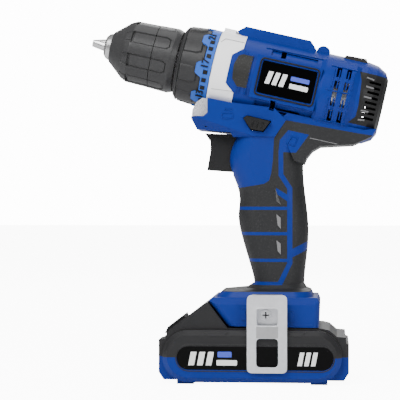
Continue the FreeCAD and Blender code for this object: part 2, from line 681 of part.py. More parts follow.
def grip_loft(name, inset, rows):
    body = new_body(name)
    sections = []
    for index in rows:
        sketch, front, back, half, corner = grip_section(body, index)
        link(sketch, "AttachmentOffset.Base.z", f"grip_height_a{index}")
        depth = size(inset)
        texts = (f"grip_front_a{index} + {inset}", f"grip_back_a{index} - ({inset})",
                 f"grip_half_a{index} - ({inset})", f"grip_corner_a{index} - ({inset}) * 0.6")
        rounded_rectangle(sketch, front + depth, back - depth, half - depth, corner - depth * 0.6, texts)
        sections.append(sketch)
    loft = body.newObject("PartDesign::AdditiveLoft", name + "Loft")
    loft.Profile = sections[0]
    loft.Sections = sections[1:]
    return body


def make_shells():
    """The two housing halves with all that is moulded on them, and the parts that they hold."""
    barrel = turned("Barrel", "barrel")
    drum = common("DrumBand", [turned("Drum", "drum"), side("DrumSlice", "drum_band", "-wide", "wide")])
    ear_ring = cut("EarRing", cylinder("EarOuter", "25.9", "ear_length", z="ear_back"),
                   cylinder("EarInner", "22.35", "ear_length", z="ear_back"))
    ears = common("Ears", [ear_ring, side("EarSide", "ear", "-wide", "wide")])
    rail = cut("TopRail", side("RailBlank", "top_rail", "-9", "9"),
               cylinder("RailRoom", "collar_radius", "wide", z="collar_back"))
    boss = cylinder("TopBoss", "4.2", "13", x="24.6", y="-6.5", z="-37", turn=ALONG_Y)
    plates = side("PlateBoss", "plate_boss", "-25.9", "25.9")
    whole_top = fuse("MotorHousingWhole", [barrel, drum, ears, rail, boss, plates])
    top = cut("MotorHousing", whole_top, side_channels())
    in_barrel(top)
    hollow = in_barrel(turned("BarrelHollow", "barrel_hollow"))
    upper_pads = in_barrel(side_bumper_tools())
    foot = make_foot()
    chin = chin_solid()
    grip_whole = grip_solid("Grip", "0")
    grip_core = grip_solid("GripCore", "rubber_depth")
    tail = slab("Tail", "tail", "-tail_half", "tail_half")
    tail_core = slab("TailCore", "tail_core", "-tail_half + rubber_depth", "tail_half - rubber_depth")
    whole_grip = fuse("GripAndTail", [grip_whole, tail])
    core_grip = fuse("GripAndTailCore", [grip_core, tail_core])
    skin_zone = slab("RubberZone", "rubber_zone", "-wide", "wide")
    stripes = [slab("StripeUpper", "stripe_upper", "-wide", "wide"),
               slab("StripeFork", "stripe_fork", "-wide", "wide"),
               slab("StripePatch", "stripe_patch", "-wide", "wide")]
    for number, (level, end) in enumerate(STRIPE_LEVELS):
        stripes.append(box(f"StripeLevel{number}", "-wide", "-wide", str(level), f"wide + {end}", "wide * 2",
                           str(STRIPE_HEIGHT)))
    stripe = fuse("Stripes", stripes)
    rubber_raw = common("RubberRaw", [cut("RubberSkin", whole_grip, core_grip), skin_zone])
    rubber_cut = cut("RubberStriped", rubber_raw, stripe)
    covers = in_barrel(turned("BarrelClear", "barrel"))
    wells = fuse("RubberOff", [chin, foot] + [well_copy(number) for number in range(len(SHELL_SCREWS))])
    rubber = cut("RubberClear", cut("RubberNoBarrel", rubber_cut, covers), wells)
    outside = fuse("Outside", [top, foot, chin, whole_grip])
    hard = cut("HardOutside", outside, rubber)
    inside = fuse("Inside", [hollow, grip_solid("GripHollow", "rubber_depth + shell_wall"),
                             slab("FootHollow", "foot_hollow", "-foot_half + 5", "foot_half - 5"),
                             chin_hollow()])
    openings = make_openings(upper_pads)
    bosses = screw_bosses()
    ribs = [turned("MotorRibFront", "motor_rib_front"), turned("MotorRibBack", "motor_rib_back")]
    rib = in_barrel(fuse("MotorRibs", ribs))
    shell = fuse("Shell", [cut("ShellThin", hard, inside), rib])
    bossed = fuse("ShellBossed", [shell, common("Bosses", [bosses, hard])])
    shell_open = cut("ShellOpen", bossed, openings)
    rear = in_barrel(side("RearZone", "rear_zone", "-wide", "wide"))
    cap = common("RearCapRaw", [shell_open, rear])
    body = cut("ShellNoCap", shell_open, rear)
    left_side = box("LeftSide", "-wide * 3", "-wide * 2", "-wide", "wide * 6", "wide * 2", "wide * 5")
    right_side = box("RightSide", "-wide * 3", "0", "-wide", "wide * 6", "wide * 2", "wide * 5")
    keep_upright(common("HousingLeft", [body, left_side]), "housing_left")
    keep_upright(common("HousingRight", [body, right_side]), "housing_right")
    keep_upright(common("RubberLeft", [rubber, left_side]), "grip_rubber_left")
    keep_upright(common("RubberRight", [rubber, right_side]), "grip_rubber_right")
    keep_upright(cut("RearCap", cap, in_barrel(louvres())), "rear_cap")
    make_screws()


def side_channels():
    """The shallow channels along the barrel above and below the plates."""
    both = fuse("ChannelBoth", [side("ChannelUpper", "upper_channel", "-wide", "wide"),
                                side("ChannelLower", "lower_channel", "-wide", "wide")])
    return cut("Channels", both, cylinder("ChannelKeep", "channel_floor", "wide", z="-wide + 10"))


def planer(name, spot, outward):
    """A block that cuts away all that lies beyond a plane, given by a point and its outward direction."""
    turn = Rotation(Vector(0, 0, 1), Vector(*outward))
    item = box(name, "0", "0", "0", "wide * 2", "wide * 2", "wide")
    middle = Vector(size("wide"), size("wide"), 0)
    item.Placement = Placement(Vector(*spot) - turn.multVec(middle), turn)
    return item


def side_bumper_tools():
    """The pockets that the two side pads sit in."""
    pad = side("SidePadPocket", "side_bumper", "-wide", "wide")
    shell = cut("SidePadShell", cylinder("SidePadOuter", "30", "20", z="0"),
                cylinder("SidePadInner", "24.4", "20", z="0"))
    return common("SidePadPockets", [pad, shell])


def make_trim():
    """Soft pads, name plates and the lens."""
    shell = cut("SidePadSkin", cylinder("SidePadSkinOuter", "26.3", "20", z="0"),
                cylinder("SidePadSkinInner", "24.4", "20", z="0"))
    pads = []
    plates = []
    for name, low, high in (("Left", "-wide", "0"), ("Right", "0", "wide")):
        pads.append(common(f"SideBumper{name}", [side(f"SidePad{name}", "side_bumper", low, high), shell]))
        plate_low, plate_high = ("-25.9", "-24.9") if name == "Left" else ("24.9", "25.9")
        plates.append(side(f"NamePlate{name}", "name_plate", plate_low, plate_high))
    keep_barrel(group("SideBumpers", pads), "side_bumpers")
    keep_barrel(group("NamePlates", plates), "name_plates")
    keep_barrel(side("TopBumper", "top_bumper", "-8.6", "8.6"), "top_bumper")
    ring_room = in_barrel(cylinder("LensRoom", "collar_radius", "wide", z="collar_back"))
    lens = cut("Lens", slab("LensBlank", "lens", "-17", "17"), ring_room)
    keep_upright(lens, "led_lens")
    keep_upright(slab("LedBoard", "led_board", "-8", "8"), "led_board")


def make_collar():
    """The pale gear case: a ring that shows, a nose for the clutch and a cup for the gears."""
    blank = turned("GearCaseBlank", "gear_case")
    top = box("CollarTop", "20", "-9", "17.7", "6.3", "18", "7.3")
    solid = fuse("GearCaseSolid", [blank, cut("CollarRib", top, cylinder("CollarRibRoom", "21", "20", z="10"))])
    ear_clear = common("EarClear", [cut("EarClearRing", cylinder("EarClearOuter", "30", "ear_length + 2", z="ear_back - 1.6"),
                                        cylinder("EarClearInner", "22.2", "ear_length + 2", z="ear_back - 1.6")),
                                    side("EarClearSide", "ear", "-wide", "wide")])
    keep_barrel(cut("GearCase", solid, ear_clear), "gear_case")


def chin_solid():
    """The block round the trigger's top, from the lens seat back into the grip."""
    blank = slab("ChinBlank", "chin", "-chin_half", "chin_half")
    room = in_barrel(cylinder("ChinRoom", "collar_radius", "wide", z="collar_back"))
    slopes = [planer(f"ChinSlope{number}", (-33.5, 22 * sign, 159.9), (-0.211, 0.739 * sign, -0.64))
              for number, sign in ((1, -1), (2, 1))]
    return cut("Chin", blank, fuse("ChinAway", [room] + slopes))


def chin_hollow():
    """Room inside the chin block for the switch and the lamp's board."""
    return box("ChinHollow", "-33", "-chin_half + 3", "154.6", "60", "(chin_half - 3) * 2", "12")


def make_foot():
    """The foot that the battery slides into: chamfered block with its rail channel."""
    blank = slab("Foot", "foot", "-foot_half", "foot_half")
    upright_edges = round_edges("FootRound", blank, 4.0, lambda edge: foot_corner(edge))
    channel = fuse("FootChannel", [
        box("ChannelNeck", "-45", "-14.5", "30", "82.2", "29", "9"),
        box("ChannelWide", "-45", "-17.5", "37.4", "82.2", "35", "5.2"),
    ])
    slopes = [planer(f"FootSlope{number}", (0, 29 * sign, 51.6), (0, sign, 1))
              for number, sign in ((1, -1), (2, 1))]
    return cut("FootOpen", upright_edges, fuse("FootAway", [channel] + slopes))


def foot_corner(edge):
    """The foot's corners that rise from front to back on both sides."""
    points = [vertex.Point for vertex in edge.Vertexes]
    level = abs(points[0].z - points[1].z) < 1
    across = abs(points[0].y - points[1].y) > 1
    return not level and not across


def make_openings(pockets):
    """Everything that is cut through the shell."""
    mouth = slab("TriggerMouth", "trigger_mouth", "-trigger_half - trigger_gap", "trigger_half + trigger_gap")
    lever = slab("LeverWindow", "lever_window", "-wide", "wide")
    plates = in_barrel(cut("PlatePockets", side("PlateWindow", "name_plate", "-wide", "wide"),
                           side("PlateKeep", "plate_boss", "-24.9", "24.9")))
    slots = in_barrel(fuse("SideSlots", [side("SlotUpper", "upper_slot", "-wide", "wide"),
                                         side("SlotLower", "lower_slot", "-wide", "wide")]))
    vents = []
    for column, station in enumerate(VENT_COLUMNS):
        for row, (low, high) in enumerate(VENT_SPANS):
            vents.append(box(f"Vent{column}{row}", str(low), "-wide", str(station - VENT_WIDTH / 2),
                             str(high - low), "wide * 2", str(VENT_WIDTH)))
    vent = in_barrel(fuse("Vents", vents))
    bumper = in_barrel(side("TopBumperPocket", "top_bumper", "-8.6", "8.6"))
    lamp = slab("LensPocket", "lens", "-17", "17")
    board = slab("BoardPocket", "led_board", "-8.2", "8.2")
    terminals = box("TerminalWindow", "13.8", "-13.2", "42", "14.4", "26.4", "2")
    clip_hole = cylinder("ClipScrewHole", "1.8", "wide", x="clip_screw_x", y="-wide", z="clip_screw_z",
                         turn=ALONG_Y)
    tools = [mouth, lever, pockets, plates, slots, vent, bumper, lamp, board, terminals, clip_hole]
    return fuse("Openings", tools + screw_wells())


def screw_bosses():
    """Solid posts inside the shell for the screws."""
    posts = []
    for number, (x, z) in enumerate(SHELL_SCREWS):
        posts.append(cylinder(f"Post{number}", "boss_radius", "wide", x=str(x), y="-wide / 2", z=str(z),
                              turn=ALONG_Y))
    return fuse("Posts", posts)


def well_copy(number):
    """One screw's well through the rubber."""
    x, z = SHELL_SCREWS[number]
    return cylinder(f"RubberWell{number}", "screw_head + run_gap", "wide", x=str(x),
                    y=str(SHELL_SCREW_LENGTHS[number] / 2), z=str(z), turn=ALONG_Y)


def screw_wells():
    """Room for each housing screw, open to the right-hand side."""
    tools = []
    for number, ((x, z), length) in enumerate(zip(SHELL_SCREWS, SHELL_SCREW_LENGTHS)):
        tools.append(cylinder(f"WellShank{number}", "screw_shank", str(length * 0.8), x=str(x),
                              y=str(length * -0.3), z=str(z), turn=ALONG_Y))
        tools.append(cylinder(f"WellHead{number}", "screw_head + run_gap", "wide", x=str(x),
                              y=str(length / 2), z=str(z), turn=ALONG_Y))
    return tools


def make_screws():
    """The housing screws, driven in from the right-hand side."""
    items = []
    for number, ((x, z), length) in enumerate(zip(SHELL_SCREWS, SHELL_SCREW_LENGTHS)):
        head_y = length / 2
        shank = cylinder(f"ShellShank{number}", "screw_shank", str(length * 0.8), x=str(x),
                         y=str(head_y - length * 0.8), z=str(z), turn=ALONG_Y)
        head = cylinder(f"ShellHead{number}", "screw_head", "2", x=str(x), y=str(head_y), z=str(z), turn=ALONG_Y)
        items.append(fuse(f"ShellScrew{number}", [shank, head]))
    keep_upright(group("ShellScrews", items), "housing_screws")


def louvres():
    """Cooling slots round the rear corner of the cap."""
    slots = []
    for number in range(8):
        up = -10.4 + 3.1 * number
        slots.append(box(f"Louvre{number}", str(up), "-wide", "-75.6", "1.5", "wide * 2", "7.2"))
    return fuse("Louvres", slots)


# ---------------------------------------------------------------- controls

def make_controls():
    """Trigger, direction lever and the switch that they work."""
    keep_upright(slab("Trigger", "trigger", "-trigger_half", "trigger_half"), "trigger")
    keep_upright(slab("Lever", "lever", "-25.2", "25.2"), "direction_lever")
    keep_upright(box("Switch", "1.6", "-8.5", "128", "19", "17", "22"), "switch_module")
    spring = helix_spring("TriggerSpring", 3.2, 0.5, 7.4, 4)
    spring.Placement = Placement(Vector(-5.4, 0, 139), ALONG_X)
    keep_upright(spring, "trigger_spring")


# ---------------------------------------------------------------- battery

def stadium(name, radius, reach, low, high, height="stadium_height", centre="battery_centre"):
    """A long round-ended block across the battery, from y = low to y = high."""
    width = f"({high}) - ({low})"
    ends = [cylinder(f"{name}End{number}", radius, width, x=f"{centre} + {sign} * ({reach})", y=low,
                     z=height, turn=ALONG_Y) for number, sign in ((1, "-1"), (2, "1"))]
    middle = box(f"{name}Middle", f"{centre} - ({reach})", low, f"({height}) - ({radius})",
                 f"({reach}) * 2", width, f"({radius}) * 2")
    return fuse(name, [middle] + ends)


def bevelled_wings():
    """The battery's round-ended sides with a bevel round both outer faces."""
    wings = stadium("BatteryWings", "stadium_radius", "stadium_reach", "-battery_half", "battery_half")
    doc.recompute()
    item = doc.addObject("Part::Chamfer", "BatteryWingsBevel")
    item.Base = wings
    width = size("wing_bevel")
    face = size("battery_half")
    rims = [index for index, edge in enumerate(wings.Shape.Edges, start=1)
            if all(abs(abs(vertex.Point.y) - face) < 0.01 for vertex in edge.Vertexes)
            and abs(edge.BoundBox.YLength) < 0.01]
    item.Edges = [(index, width, width) for index in rims]
    return item


def make_battery():
    """The slide-on pack: two shells, cells, strips, board, terminals, button, latch and labels."""
    core = slab("BatteryCore", "battery_core", "-core_half", "core_half")
    wings = bevelled_wings()
    feet = [box(f"BatteryFoot{number}", x, "-34", "0", "10", "68", "3") for number, x in
            ((1, "battery_centre - 45"), (2, "battery_centre + 35"))]
    rail = fuse("BatteryRail", [
        box("RailNeck", "-19", "-14", "33", "55.6", "28", "6"),
        box("RailWide", "-17", "-17", "37.9", "53.6", "34", "4.3"),
    ])
    whole = fuse("BatteryWhole", [core, wings, rail] + feet)
    wing_room = stadium("WingRoom", "stadium_radius - battery_wall", "stadium_reach",
                        "-battery_half + battery_wall + 1.4", "battery_half - battery_wall - 1.4")
    core_room = slab("CoreRoom", "battery_hollow", "-core_half + battery_wall", "core_half - battery_wall")
    labels = [stadium(f"LabelPocket{number}", "label_radius", "label_reach", low, high, "label_height",
                      "label_centre")
              for number, low, high in ((1, "-wide", "-battery_half + label_depth"),
                                        (2, "battery_half - label_depth", "wide"))]
    well = slab("ButtonWell", "button_well", "-13", "13")
    blades = [box(f"BladeSlot{number}", "4", y, "37.9", "40", "1.8", "5") for number, y in
              ((1, "-10.9"), (2, "-0.9"), (3, "9.1"))]
    hollow = fuse("BatteryRoom", [wing_room, core_room, well] + labels + blades)
    shell = cut("BatteryShell", whole, hollow)
    high_box = box("BatteryHigh", "-wide * 2", "-wide", "battery_split", "wide * 4", "wide * 2", "wide")
    low_box = box("BatteryLow", "-wide * 2", "-wide", "battery_split - wide", "wide * 4", "wide * 2", "wide")
    keep_upright(common("BatteryUpper", [shell, high_box]), "battery_upper_shell")
    keep_upright(common("BatteryLower", [shell, low_box]), "battery_lower_shell")
    plates = [stadium(f"Label{name}", "label_radius", "label_reach", low, high, "label_height", "label_centre")
              for name, low, high in (("Left", "-battery_half + 0.3", "-battery_half + label_depth"),
                                      ("Right", "battery_half - label_depth", "battery_half - 0.3"))]
    keep_upright(group("BatteryLabels", plates), "battery_labels")
    make_cells()
    make_battery_electrics()
    keep_upright(slab("BatteryButton", "battery_button", "-12.5", "12.5"), "release_button")


def make_cells():
    cells_made = []
    strips = []
    for number in range(int(size("cell_count"))):
        x = f"battery_centre + ({number} - 2) * cell_pitch"
        cells_made.append(cylinder(f"Cell{number}", "cell_radius", "cell_length", x=x, y="-cell_length / 2",
                                   z="cell_height", turn=ALONG_Y))
    keep_upright(group("Cells", cells_made), "battery_cells")
    pairs = (("A", 0, "cell_length / 2"), ("B", 1, "-cell_length / 2 - 0.4"), ("C", 2, "cell_length / 2"),
             ("D", 3, "-cell_length / 2 - 0.4"))
    for name, first, y in pairs:
        x = f"battery_centre + ({first} - 2) * cell_pitch - 4"
        strips.append(box(f"Strip{name}", x, y, "cell_height - 4", "cell_pitch + 8", "0.4", "8"))
    keep_upright(group("Strips", strips), "cell_strips")


def make_battery_electrics():
    keep_upright(box("BatteryBoard", "-24", "-22", "24.4", "56", "44", "1.6"), "battery_board")
    clips = [box(f"BatteryClip{number}", "8", y, "26.2", "10", "3", "4.4") for number, y in
             ((1, "-11.5"), (2, "-1.5"), (3, "8.5"))]
    keep_upright(group("BatteryClips", clips), "battery_contacts")


def make_foot_electrics():
    blades = [box(f"Blade{number}", "6", y, "39", "30", "0.8", "3.6") for number, y in
              ((1, "-10.4"), (2, "-0.4"), (3, "9.6"))]
    block = box("TerminalBlock", "14", "-13", "42.5", "14", "26", "4")
    keep_upright(fuse("TerminalSet", [block] + blades), "terminal_block")


# ---------------------------------------------------------------- belt clip

def make_clip():
    """A strip-steel belt clip, folded at its top, and the screw that holds it."""
    plate = box("ClipPlate", "-3.3", "clip_outer", "7.4", "23.7", "clip_thickness", "46.5")
    windows = fuse("ClipWindows", [
        box("ClipLower", "1.5", "-wide", "10.9", "14.2", "wide", "17"),
        box("ClipUpper", "1.5", "-wide", "31.5", "14.2", "wide - 38", "15.6"),
    ])
    bend = box("ClipBend", "-3.3", "clip_outer", "52.7", "23.7", "clip_inner - clip_outer", "clip_thickness")
    leg = box("ClipLeg", "1.2", "clip_inner - clip_thickness", "35.2", "15", "clip_thickness", "18.7")
    folded = fuse("ClipFolded", [cut("ClipFront", plate, windows), bend, leg])
    hole = cylinder("ClipHole", "1.9", "20", x="clip_screw_x", y="-38", z="clip_screw_z", turn=ALONG_Y)
    pierced = cut("ClipPierced", folded, hole)
    keep_upright(pierced, "belt_clip")
    head = cylinder("ClipHead", "3.2", "1.8", x="clip_screw_x", y="clip_inner - clip_thickness - 1.8",
                    z="clip_screw_z", turn=ALONG_Y)
    shank = cylinder("ClipShank", "1.8", "8", x="clip_screw_x", y="clip_inner - clip_thickness",
                     z="clip_screw_z", turn=ALONG_Y)
    keep_upright(fuse("ClipScrew", [head, shank]), "belt_clip_screw")


def check_and_export():
    """Recompute, refuse anything broken, and write one file for each finished piece."""
    doc.recompute()
    for item in doc.Objects:
        if "Invalid" in item.State or "Error" in item.State:
            raise RuntimeError(f"{item.Name} failed: {item.State}")
    os.makedirs("parts", exist_ok=True)
    for item in finished:
        shape = item.Shape
        if shape.isNull() or not shape.isValid() or not shape.Solids:
            raise RuntimeError(f"{item.Label} has no sound solid")
        shape.exportStep(f"parts/{item.Label}.step")


doc = FreeCAD.newDocument("drill")
finished = []
cells = {}
sheet, cells = make_sheet()
make_chuck()
make_gearbox()
make_clutch()
make_motor()
make_collar()
make_trim()
make_shells()
make_controls()
make_battery()
make_foot_electrics()
make_clip()
check_and_export()
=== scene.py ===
"""Looks of a cordless drill driver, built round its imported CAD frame."""

import json
import logging
import math
from dataclasses import dataclass
from enum import IntEnum
from typing import Callable, Sequence, Union

import bmesh
import bpy
from mathutils import Matrix, Vector


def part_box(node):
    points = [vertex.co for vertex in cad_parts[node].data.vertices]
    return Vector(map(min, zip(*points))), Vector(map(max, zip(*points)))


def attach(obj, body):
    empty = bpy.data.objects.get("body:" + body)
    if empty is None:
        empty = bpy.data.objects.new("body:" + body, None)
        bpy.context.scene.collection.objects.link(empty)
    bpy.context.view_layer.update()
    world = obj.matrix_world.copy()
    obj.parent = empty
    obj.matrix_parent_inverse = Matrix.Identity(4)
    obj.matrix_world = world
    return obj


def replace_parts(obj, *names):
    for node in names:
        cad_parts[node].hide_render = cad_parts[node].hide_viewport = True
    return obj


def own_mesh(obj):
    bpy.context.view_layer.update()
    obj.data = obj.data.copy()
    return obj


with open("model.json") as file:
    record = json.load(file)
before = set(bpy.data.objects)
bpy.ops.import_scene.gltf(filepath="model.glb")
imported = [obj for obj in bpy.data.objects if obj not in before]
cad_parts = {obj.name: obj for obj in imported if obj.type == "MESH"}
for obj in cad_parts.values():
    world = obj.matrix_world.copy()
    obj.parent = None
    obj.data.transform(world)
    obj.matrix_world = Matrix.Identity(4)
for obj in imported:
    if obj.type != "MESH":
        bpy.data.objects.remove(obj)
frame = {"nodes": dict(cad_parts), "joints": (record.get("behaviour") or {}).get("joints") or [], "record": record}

LOG = logging.getLogger("drill")
MM = 0.001

Point = tuple[float, float]
Place = Callable[[float, float, float], Vector]
Colour = tuple[float, float, float]
Value = Union[float, int, Colour, "Signal"]


class Side(IntEnum):
    """A flank of the tool, valued by its direction along y."""

    LEFT = -1
    RIGHT = 1

    def node(self, stem: str) -> str:
        """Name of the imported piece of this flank."""
        return f"{stem}_{self.name.lower()}"


# ---------------------------------------------------------------- shader expressions

class Signal:
    """A shader socket that takes part in Python expressions."""

    def __init__(self, graph: "Graph", socket: bpy.types.NodeSocket) -> None:
        """Remember the socket and the graph it belongs to."""
        self.graph = graph
        self.socket = socket

    def _math(self, operation: str, *values: Value) -> "Signal":
        """Add one Math node and return its output."""
        return self.graph.node("ShaderNodeMath", {"operation": operation}, dict(enumerate(values)))[0]

    def __add__(self, other: Value) -> "Signal":
        """Sum."""
        return self._math("ADD", self, other)

    __radd__ = __add__

    def __sub__(self, other: Value) -> "Signal":
        """Difference."""
        return self._math("SUBTRACT", self, other)

    def __rsub__(self, other: Value) -> "Signal":
        """Difference with the signal on the right."""
        return self._math("SUBTRACT", other, self)

    def __mul__(self, other: Value) -> "Signal":
        """Product."""
        return self._math("MULTIPLY", self, other)

    __rmul__ = __mul__

    def __gt__(self, other: Value) -> "Signal":
        """1 where the signal is larger, else 0."""
        return self._math("GREATER_THAN", self, other)

    def clamp(self) -> "Signal":
        """The signal kept between 0 and 1."""
        return self._math("MINIMUM", self._math("MAXIMUM", self, 0.0), 1.0)


class Graph:
    """The node tree of one material."""

    def __init__(self, name: str) -> None:
        """Start a material with an empty Principled shader."""
        self.material = bpy.data.materials.new(name)
        self.material.use_nodes = True
        self.tree = self.material.node_tree
        self.shader = self.tree.nodes["Principled BSDF"]

    def node(self, kind: str, settings: dict[str, object] | None = None,
             inputs: dict[object, Value] | None = None) -> list[Signal]:
        """Add any node.

        Args:
            kind: the node's type name.
            settings: properties that are set before its sockets.
            inputs: values or signals by socket name or number.

        Returns:
            The node's outputs.
        """
        made = self.tree.nodes.new(kind)
        for key, value in (settings or {}).items():
            setattr(made, key, value)
        for key, value in (inputs or {}).items():
            self.feed(made.inputs[key], value)
        return [Signal(self, output) for output in made.outputs]

    def feed(self, socket: bpy.types.NodeSocket, value: Value) -> None:
        """Link a signal to a socket, or set the socket's own value."""
        if isinstance(value, Signal):
            self.tree.links.new(value.socket, socket)
        elif isinstance(value, tuple) and socket.type == "RGBA":
            socket.default_value = (*value, 1.0)
        else:
            socket.default_value = value

    def noise(self, scale: float, detail: float = 3.0, stretch: Colour = (1.0, 1.0, 1.0)) -> Signal:
        """Noise fixed to the piece, with a scale in lumps to the metre."""
        place = self.node("ShaderNodeTexCoord")[3]
        mapped = self.node("ShaderNodeMapping", None, {"Vector": place, "Scale": stretch})[0]
        return self.node("ShaderNodeTexNoise", None, {"Vector": mapped, "Scale": scale, "Detail": detail})[0]

    def mix(self, low: Value, high: Value, share: Value) -> Signal:
        """Blend two colours by a share from 0 to 1."""
        return self.node("ShaderNodeMix", {"data_type": "RGBA"}, {0: share, 6: low, 7: high})[2]

    def set(self, **values: Value) -> None:
        """Feed the shader's sockets, underscores standing for spaces."""
        for key, value in values.items():
            self.feed(self.shader.inputs[key.replace("_", " ")], value)

    def bump(self, height: Signal, depth: float) -> None:
        """Raise the surface by a height signal, with a depth in metres."""
        normal = self.node("ShaderNodeBump", None, {"Height": height, "Distance": depth, "Strength": 1.0})[0]
        self.feed(self.shader.inputs["Normal"], normal)


# ---------------------------------------------------------------- finishes

@dataclass(frozen=True)
class Moulded:
    """Moulded plastic or rubber: one colour, a fine grain, faint scuffs and flecks."""

    name: str
    colour: Colour
    roughness: float = 0.4
    grain: float = 1600.0
    grain_depth: float = 0.00003
    fleck: float = 0.0
    fleck_colour: Colour = (0.3, 0.3, 0.3)
    coat: float = 0.0
    shine: float = 0.22

    def material(self) -> bpy.types.Material:
        """Build the material."""
        graph = Graph(self.name)
        cloud = graph.noise(38.0, 4.0)
        grain = graph.noise(self.grain, 2.0)
        shade = (0.86 * cloud + 0.57).clamp()
        dark = tuple(part * 0.72 for part in self.colour)
        colour = graph.mix(dark, self.colour, shade)
        if self.fleck > 0:
            specks = graph.noise(self.grain * 1.1, 0.0) > 1.0 - self.fleck
            colour = graph.mix(colour, self.fleck_colour, specks * 0.75)
        graph.set(Base_Color=colour, Roughness=(self.roughness - 0.08) + 0.16 * cloud, Coat_Weight=self.coat,
                  Specular_IOR_Level=self.shine)
        graph.bump(grain, self.grain_depth)
        return graph.material


@dataclass(frozen=True)
class Metal:
    """Bare or plated metal with drawn streaks."""

    name: str
    colour: Colour
    roughness: float = 0.28
    stretch: Colour = (1.0, 1.0, 14.0)
    streak: float = 900.0

    def material(self) -> bpy.types.Material:
        """Build the material."""
        graph = Graph(self.name)
        streaks = graph.noise(self.streak, 3.0, self.stretch)
        cloud = graph.noise(60.0, 3.0)
        dark = tuple(part * 0.62 for part in self.colour)
        graph.set(Base_Color=graph.mix(dark, self.colour, (0.5 * streaks + 0.6 * cloud + 0.1).clamp()),
                  Metallic=1.0, Roughness=(self.roughness - 0.1) + 0.22 * streaks)
        graph.bump(streaks, 0.00001)
        return graph.material


@dataclass(frozen=True)
class Gloss:
    """Smooth lacquered plastic."""

    name: str
    colour: Colour
    roughness: float = 0.08

    def material(self) -> bpy.types.Material:
        """Build the material."""
        graph = Graph(self.name)
        smudge = graph.noise(90.0, 5.0)
        graph.set(Base_Color=self.colour, Roughness=self.roughness + 0.1 * smudge,
                  Specular_IOR_Level=0.08)
        return graph.material


@dataclass(frozen=True)
class Clear:
    """Frosted clear plastic that passes light."""

    name: str
    colour: Colour = (0.95, 0.96, 0.98)
    roughness: float = 0.22

    def material(self) -> bpy.types.Material:
        """Build the material."""
        graph = Graph(self.name)
        cloud = graph.noise(300.0, 2.0)
        graph.set(Base_Color=self.colour, Roughness=self.roughness + 0.1 * cloud, IOR=1.5,
                  Transmission_Weight=0.55)
        return graph.material


BLUE = (0.003, 0.020, 0.185)
FINISHES = {
    "blue_shell": Moulded("blue_shell", BLUE, 0.38, 2200.0, 0.000014, shine=0.16),
    "grip_rubber": Moulded("grip_rubber", (0.015, 0.0155, 0.0165), 0.5, 1500.0, 0.00005, 0.3,
                           (0.03, 0.03, 0.032)),
    # light grey that paints highlights on the grip rubber's facets and rim lines
    "rubber_highlight_grey": Moulded("rubber_highlight_grey", (0.16, 0.16, 0.165), 0.45, 1500.0, 0.00003),
    "soft_pad": Moulded("soft_pad", (0.017, 0.017, 0.016), 0.4, 1800.0, 0.00003, 0.3, (0.05, 0.05, 0.05)),
    "black_plastic": Moulded("black_plastic", (0.009, 0.009, 0.0095), 0.4, 1800.0, 0.00002),
    "pale_case": Moulded("pale_case", (0.93, 0.93, 0.935), 0.34, 2600.0, 0.000008),
    # grey for the collar's seam, a dark joint, and for its facet line, where the grey is painted shade of the
    # facet
    "seam_and_facet_shade_grey": Moulded("seam_and_facet_shade_grey", (0.42, 0.42, 0.43), 0.5, 2600.0, 0.000008),
    "gloss_plate": Gloss("gloss_plate", (0.0004, 0.0004, 0.0005)),
    "plate_mark": Moulded("plate_mark", (0.8, 0.8, 0.8), 0.45, 2600.0, 0.000004),
    "plate_blue": Moulded("plate_blue", (0.06, 0.09, 0.5), 0.45, 2600.0, 0.000004),
    "clear_lens": Clear("clear_lens"),
    "green_board": Gloss("green_board", (0.02, 0.16, 0.06), 0.3),
    "zinc_steel": Metal("zinc_steel", (0.62, 0.63, 0.65), 0.34),
    "dark_magnet": Moulded("dark_magnet", (0.05, 0.05, 0.052), 0.6),
    "bronze": Metal("bronze", (0.6, 0.42, 0.2), 0.36),
    "machined_steel": Metal("machined_steel", (0.62, 0.62, 0.64), 0.26),
    "dark_steel": Metal("dark_steel", (0.2, 0.2, 0.21), 0.42),
    "copper_wire": Metal("copper_wire", (0.75, 0.33, 0.14), 0.3),
    "ring_plastic": Moulded("ring_plastic", (0.024, 0.024, 0.025), 0.42, 1700.0, 0.00004, 0.28,
                            (0.035, 0.035, 0.035)),
    "band_blue": Moulded("band_blue", (0.02, 0.10, 0.46), 0.42, 2600.0, 0.000008),
    "chuck_steel": Metal("chuck_steel", (0.6, 0.6, 0.6), 0.3),
    "sleeve_plastic": Moulded("sleeve_plastic", (0.03, 0.03, 0.031), 0.36, 1700.0, 0.00004, 0.34,
                              (0.045, 0.045, 0.045)),
    "clip_steel": Metal("clip_steel", (0.84, 0.85, 0.88), 0.42, (1.0, 1.0, 1.0), 500.0),
    # a darker steel for the strip between the clip's windows
    "clip_darker_steel": Metal("clip_darker_steel", (0.5, 0.5, 0.51), 0.34, (1.0, 1.0, 1.0), 420.0),
    "screw_steel": Metal("screw_steel", (0.6, 0.61, 0.63), 0.26),
    "pack_black": Moulded("pack_black", (0.016, 0.016, 0.017), 0.36, 1900.0, 0.00002),
    "cell_wrap": Gloss("cell_wrap", (0.05, 0.28, 0.2), 0.25),
    "nickel_strip": Metal("nickel_strip", (0.66, 0.64, 0.6), 0.3),
    # black for the numerals' print and dots, and for the screw's cross, where it paints the shadow in the recess
    "black_print_and_shade": Moulded("black_print_and_shade", (0.004, 0.004, 0.005), 0.45, 2600.0, 0.000005),
    # lighter than the black cap: paints highlights on the louvre fins
    "louvre_highlight_grey": Moulded("louvre_highlight_grey", (0.13, 0.13, 0.135), 0.42, 2200.0, 0.00001),
}


class Palette:
    """Builds each finish once and dresses pieces with it."""

    def __init__(self) -> None:
        """Start empty."""
        self.made: dict[str, bpy.types.Material] = {}

    def dress(self, piece: bpy.types.Object, finish: str) -> None:
        """Give a piece one finish."""
        if finish not in self.made:
            self.made[finish] = FINISHES[finish].material()
        piece.data.materials.clear()
        piece.data.materials.append(self.made[finish])


PALETTE = Palette()


# ---------------------------------------------------------------- frames and meshes

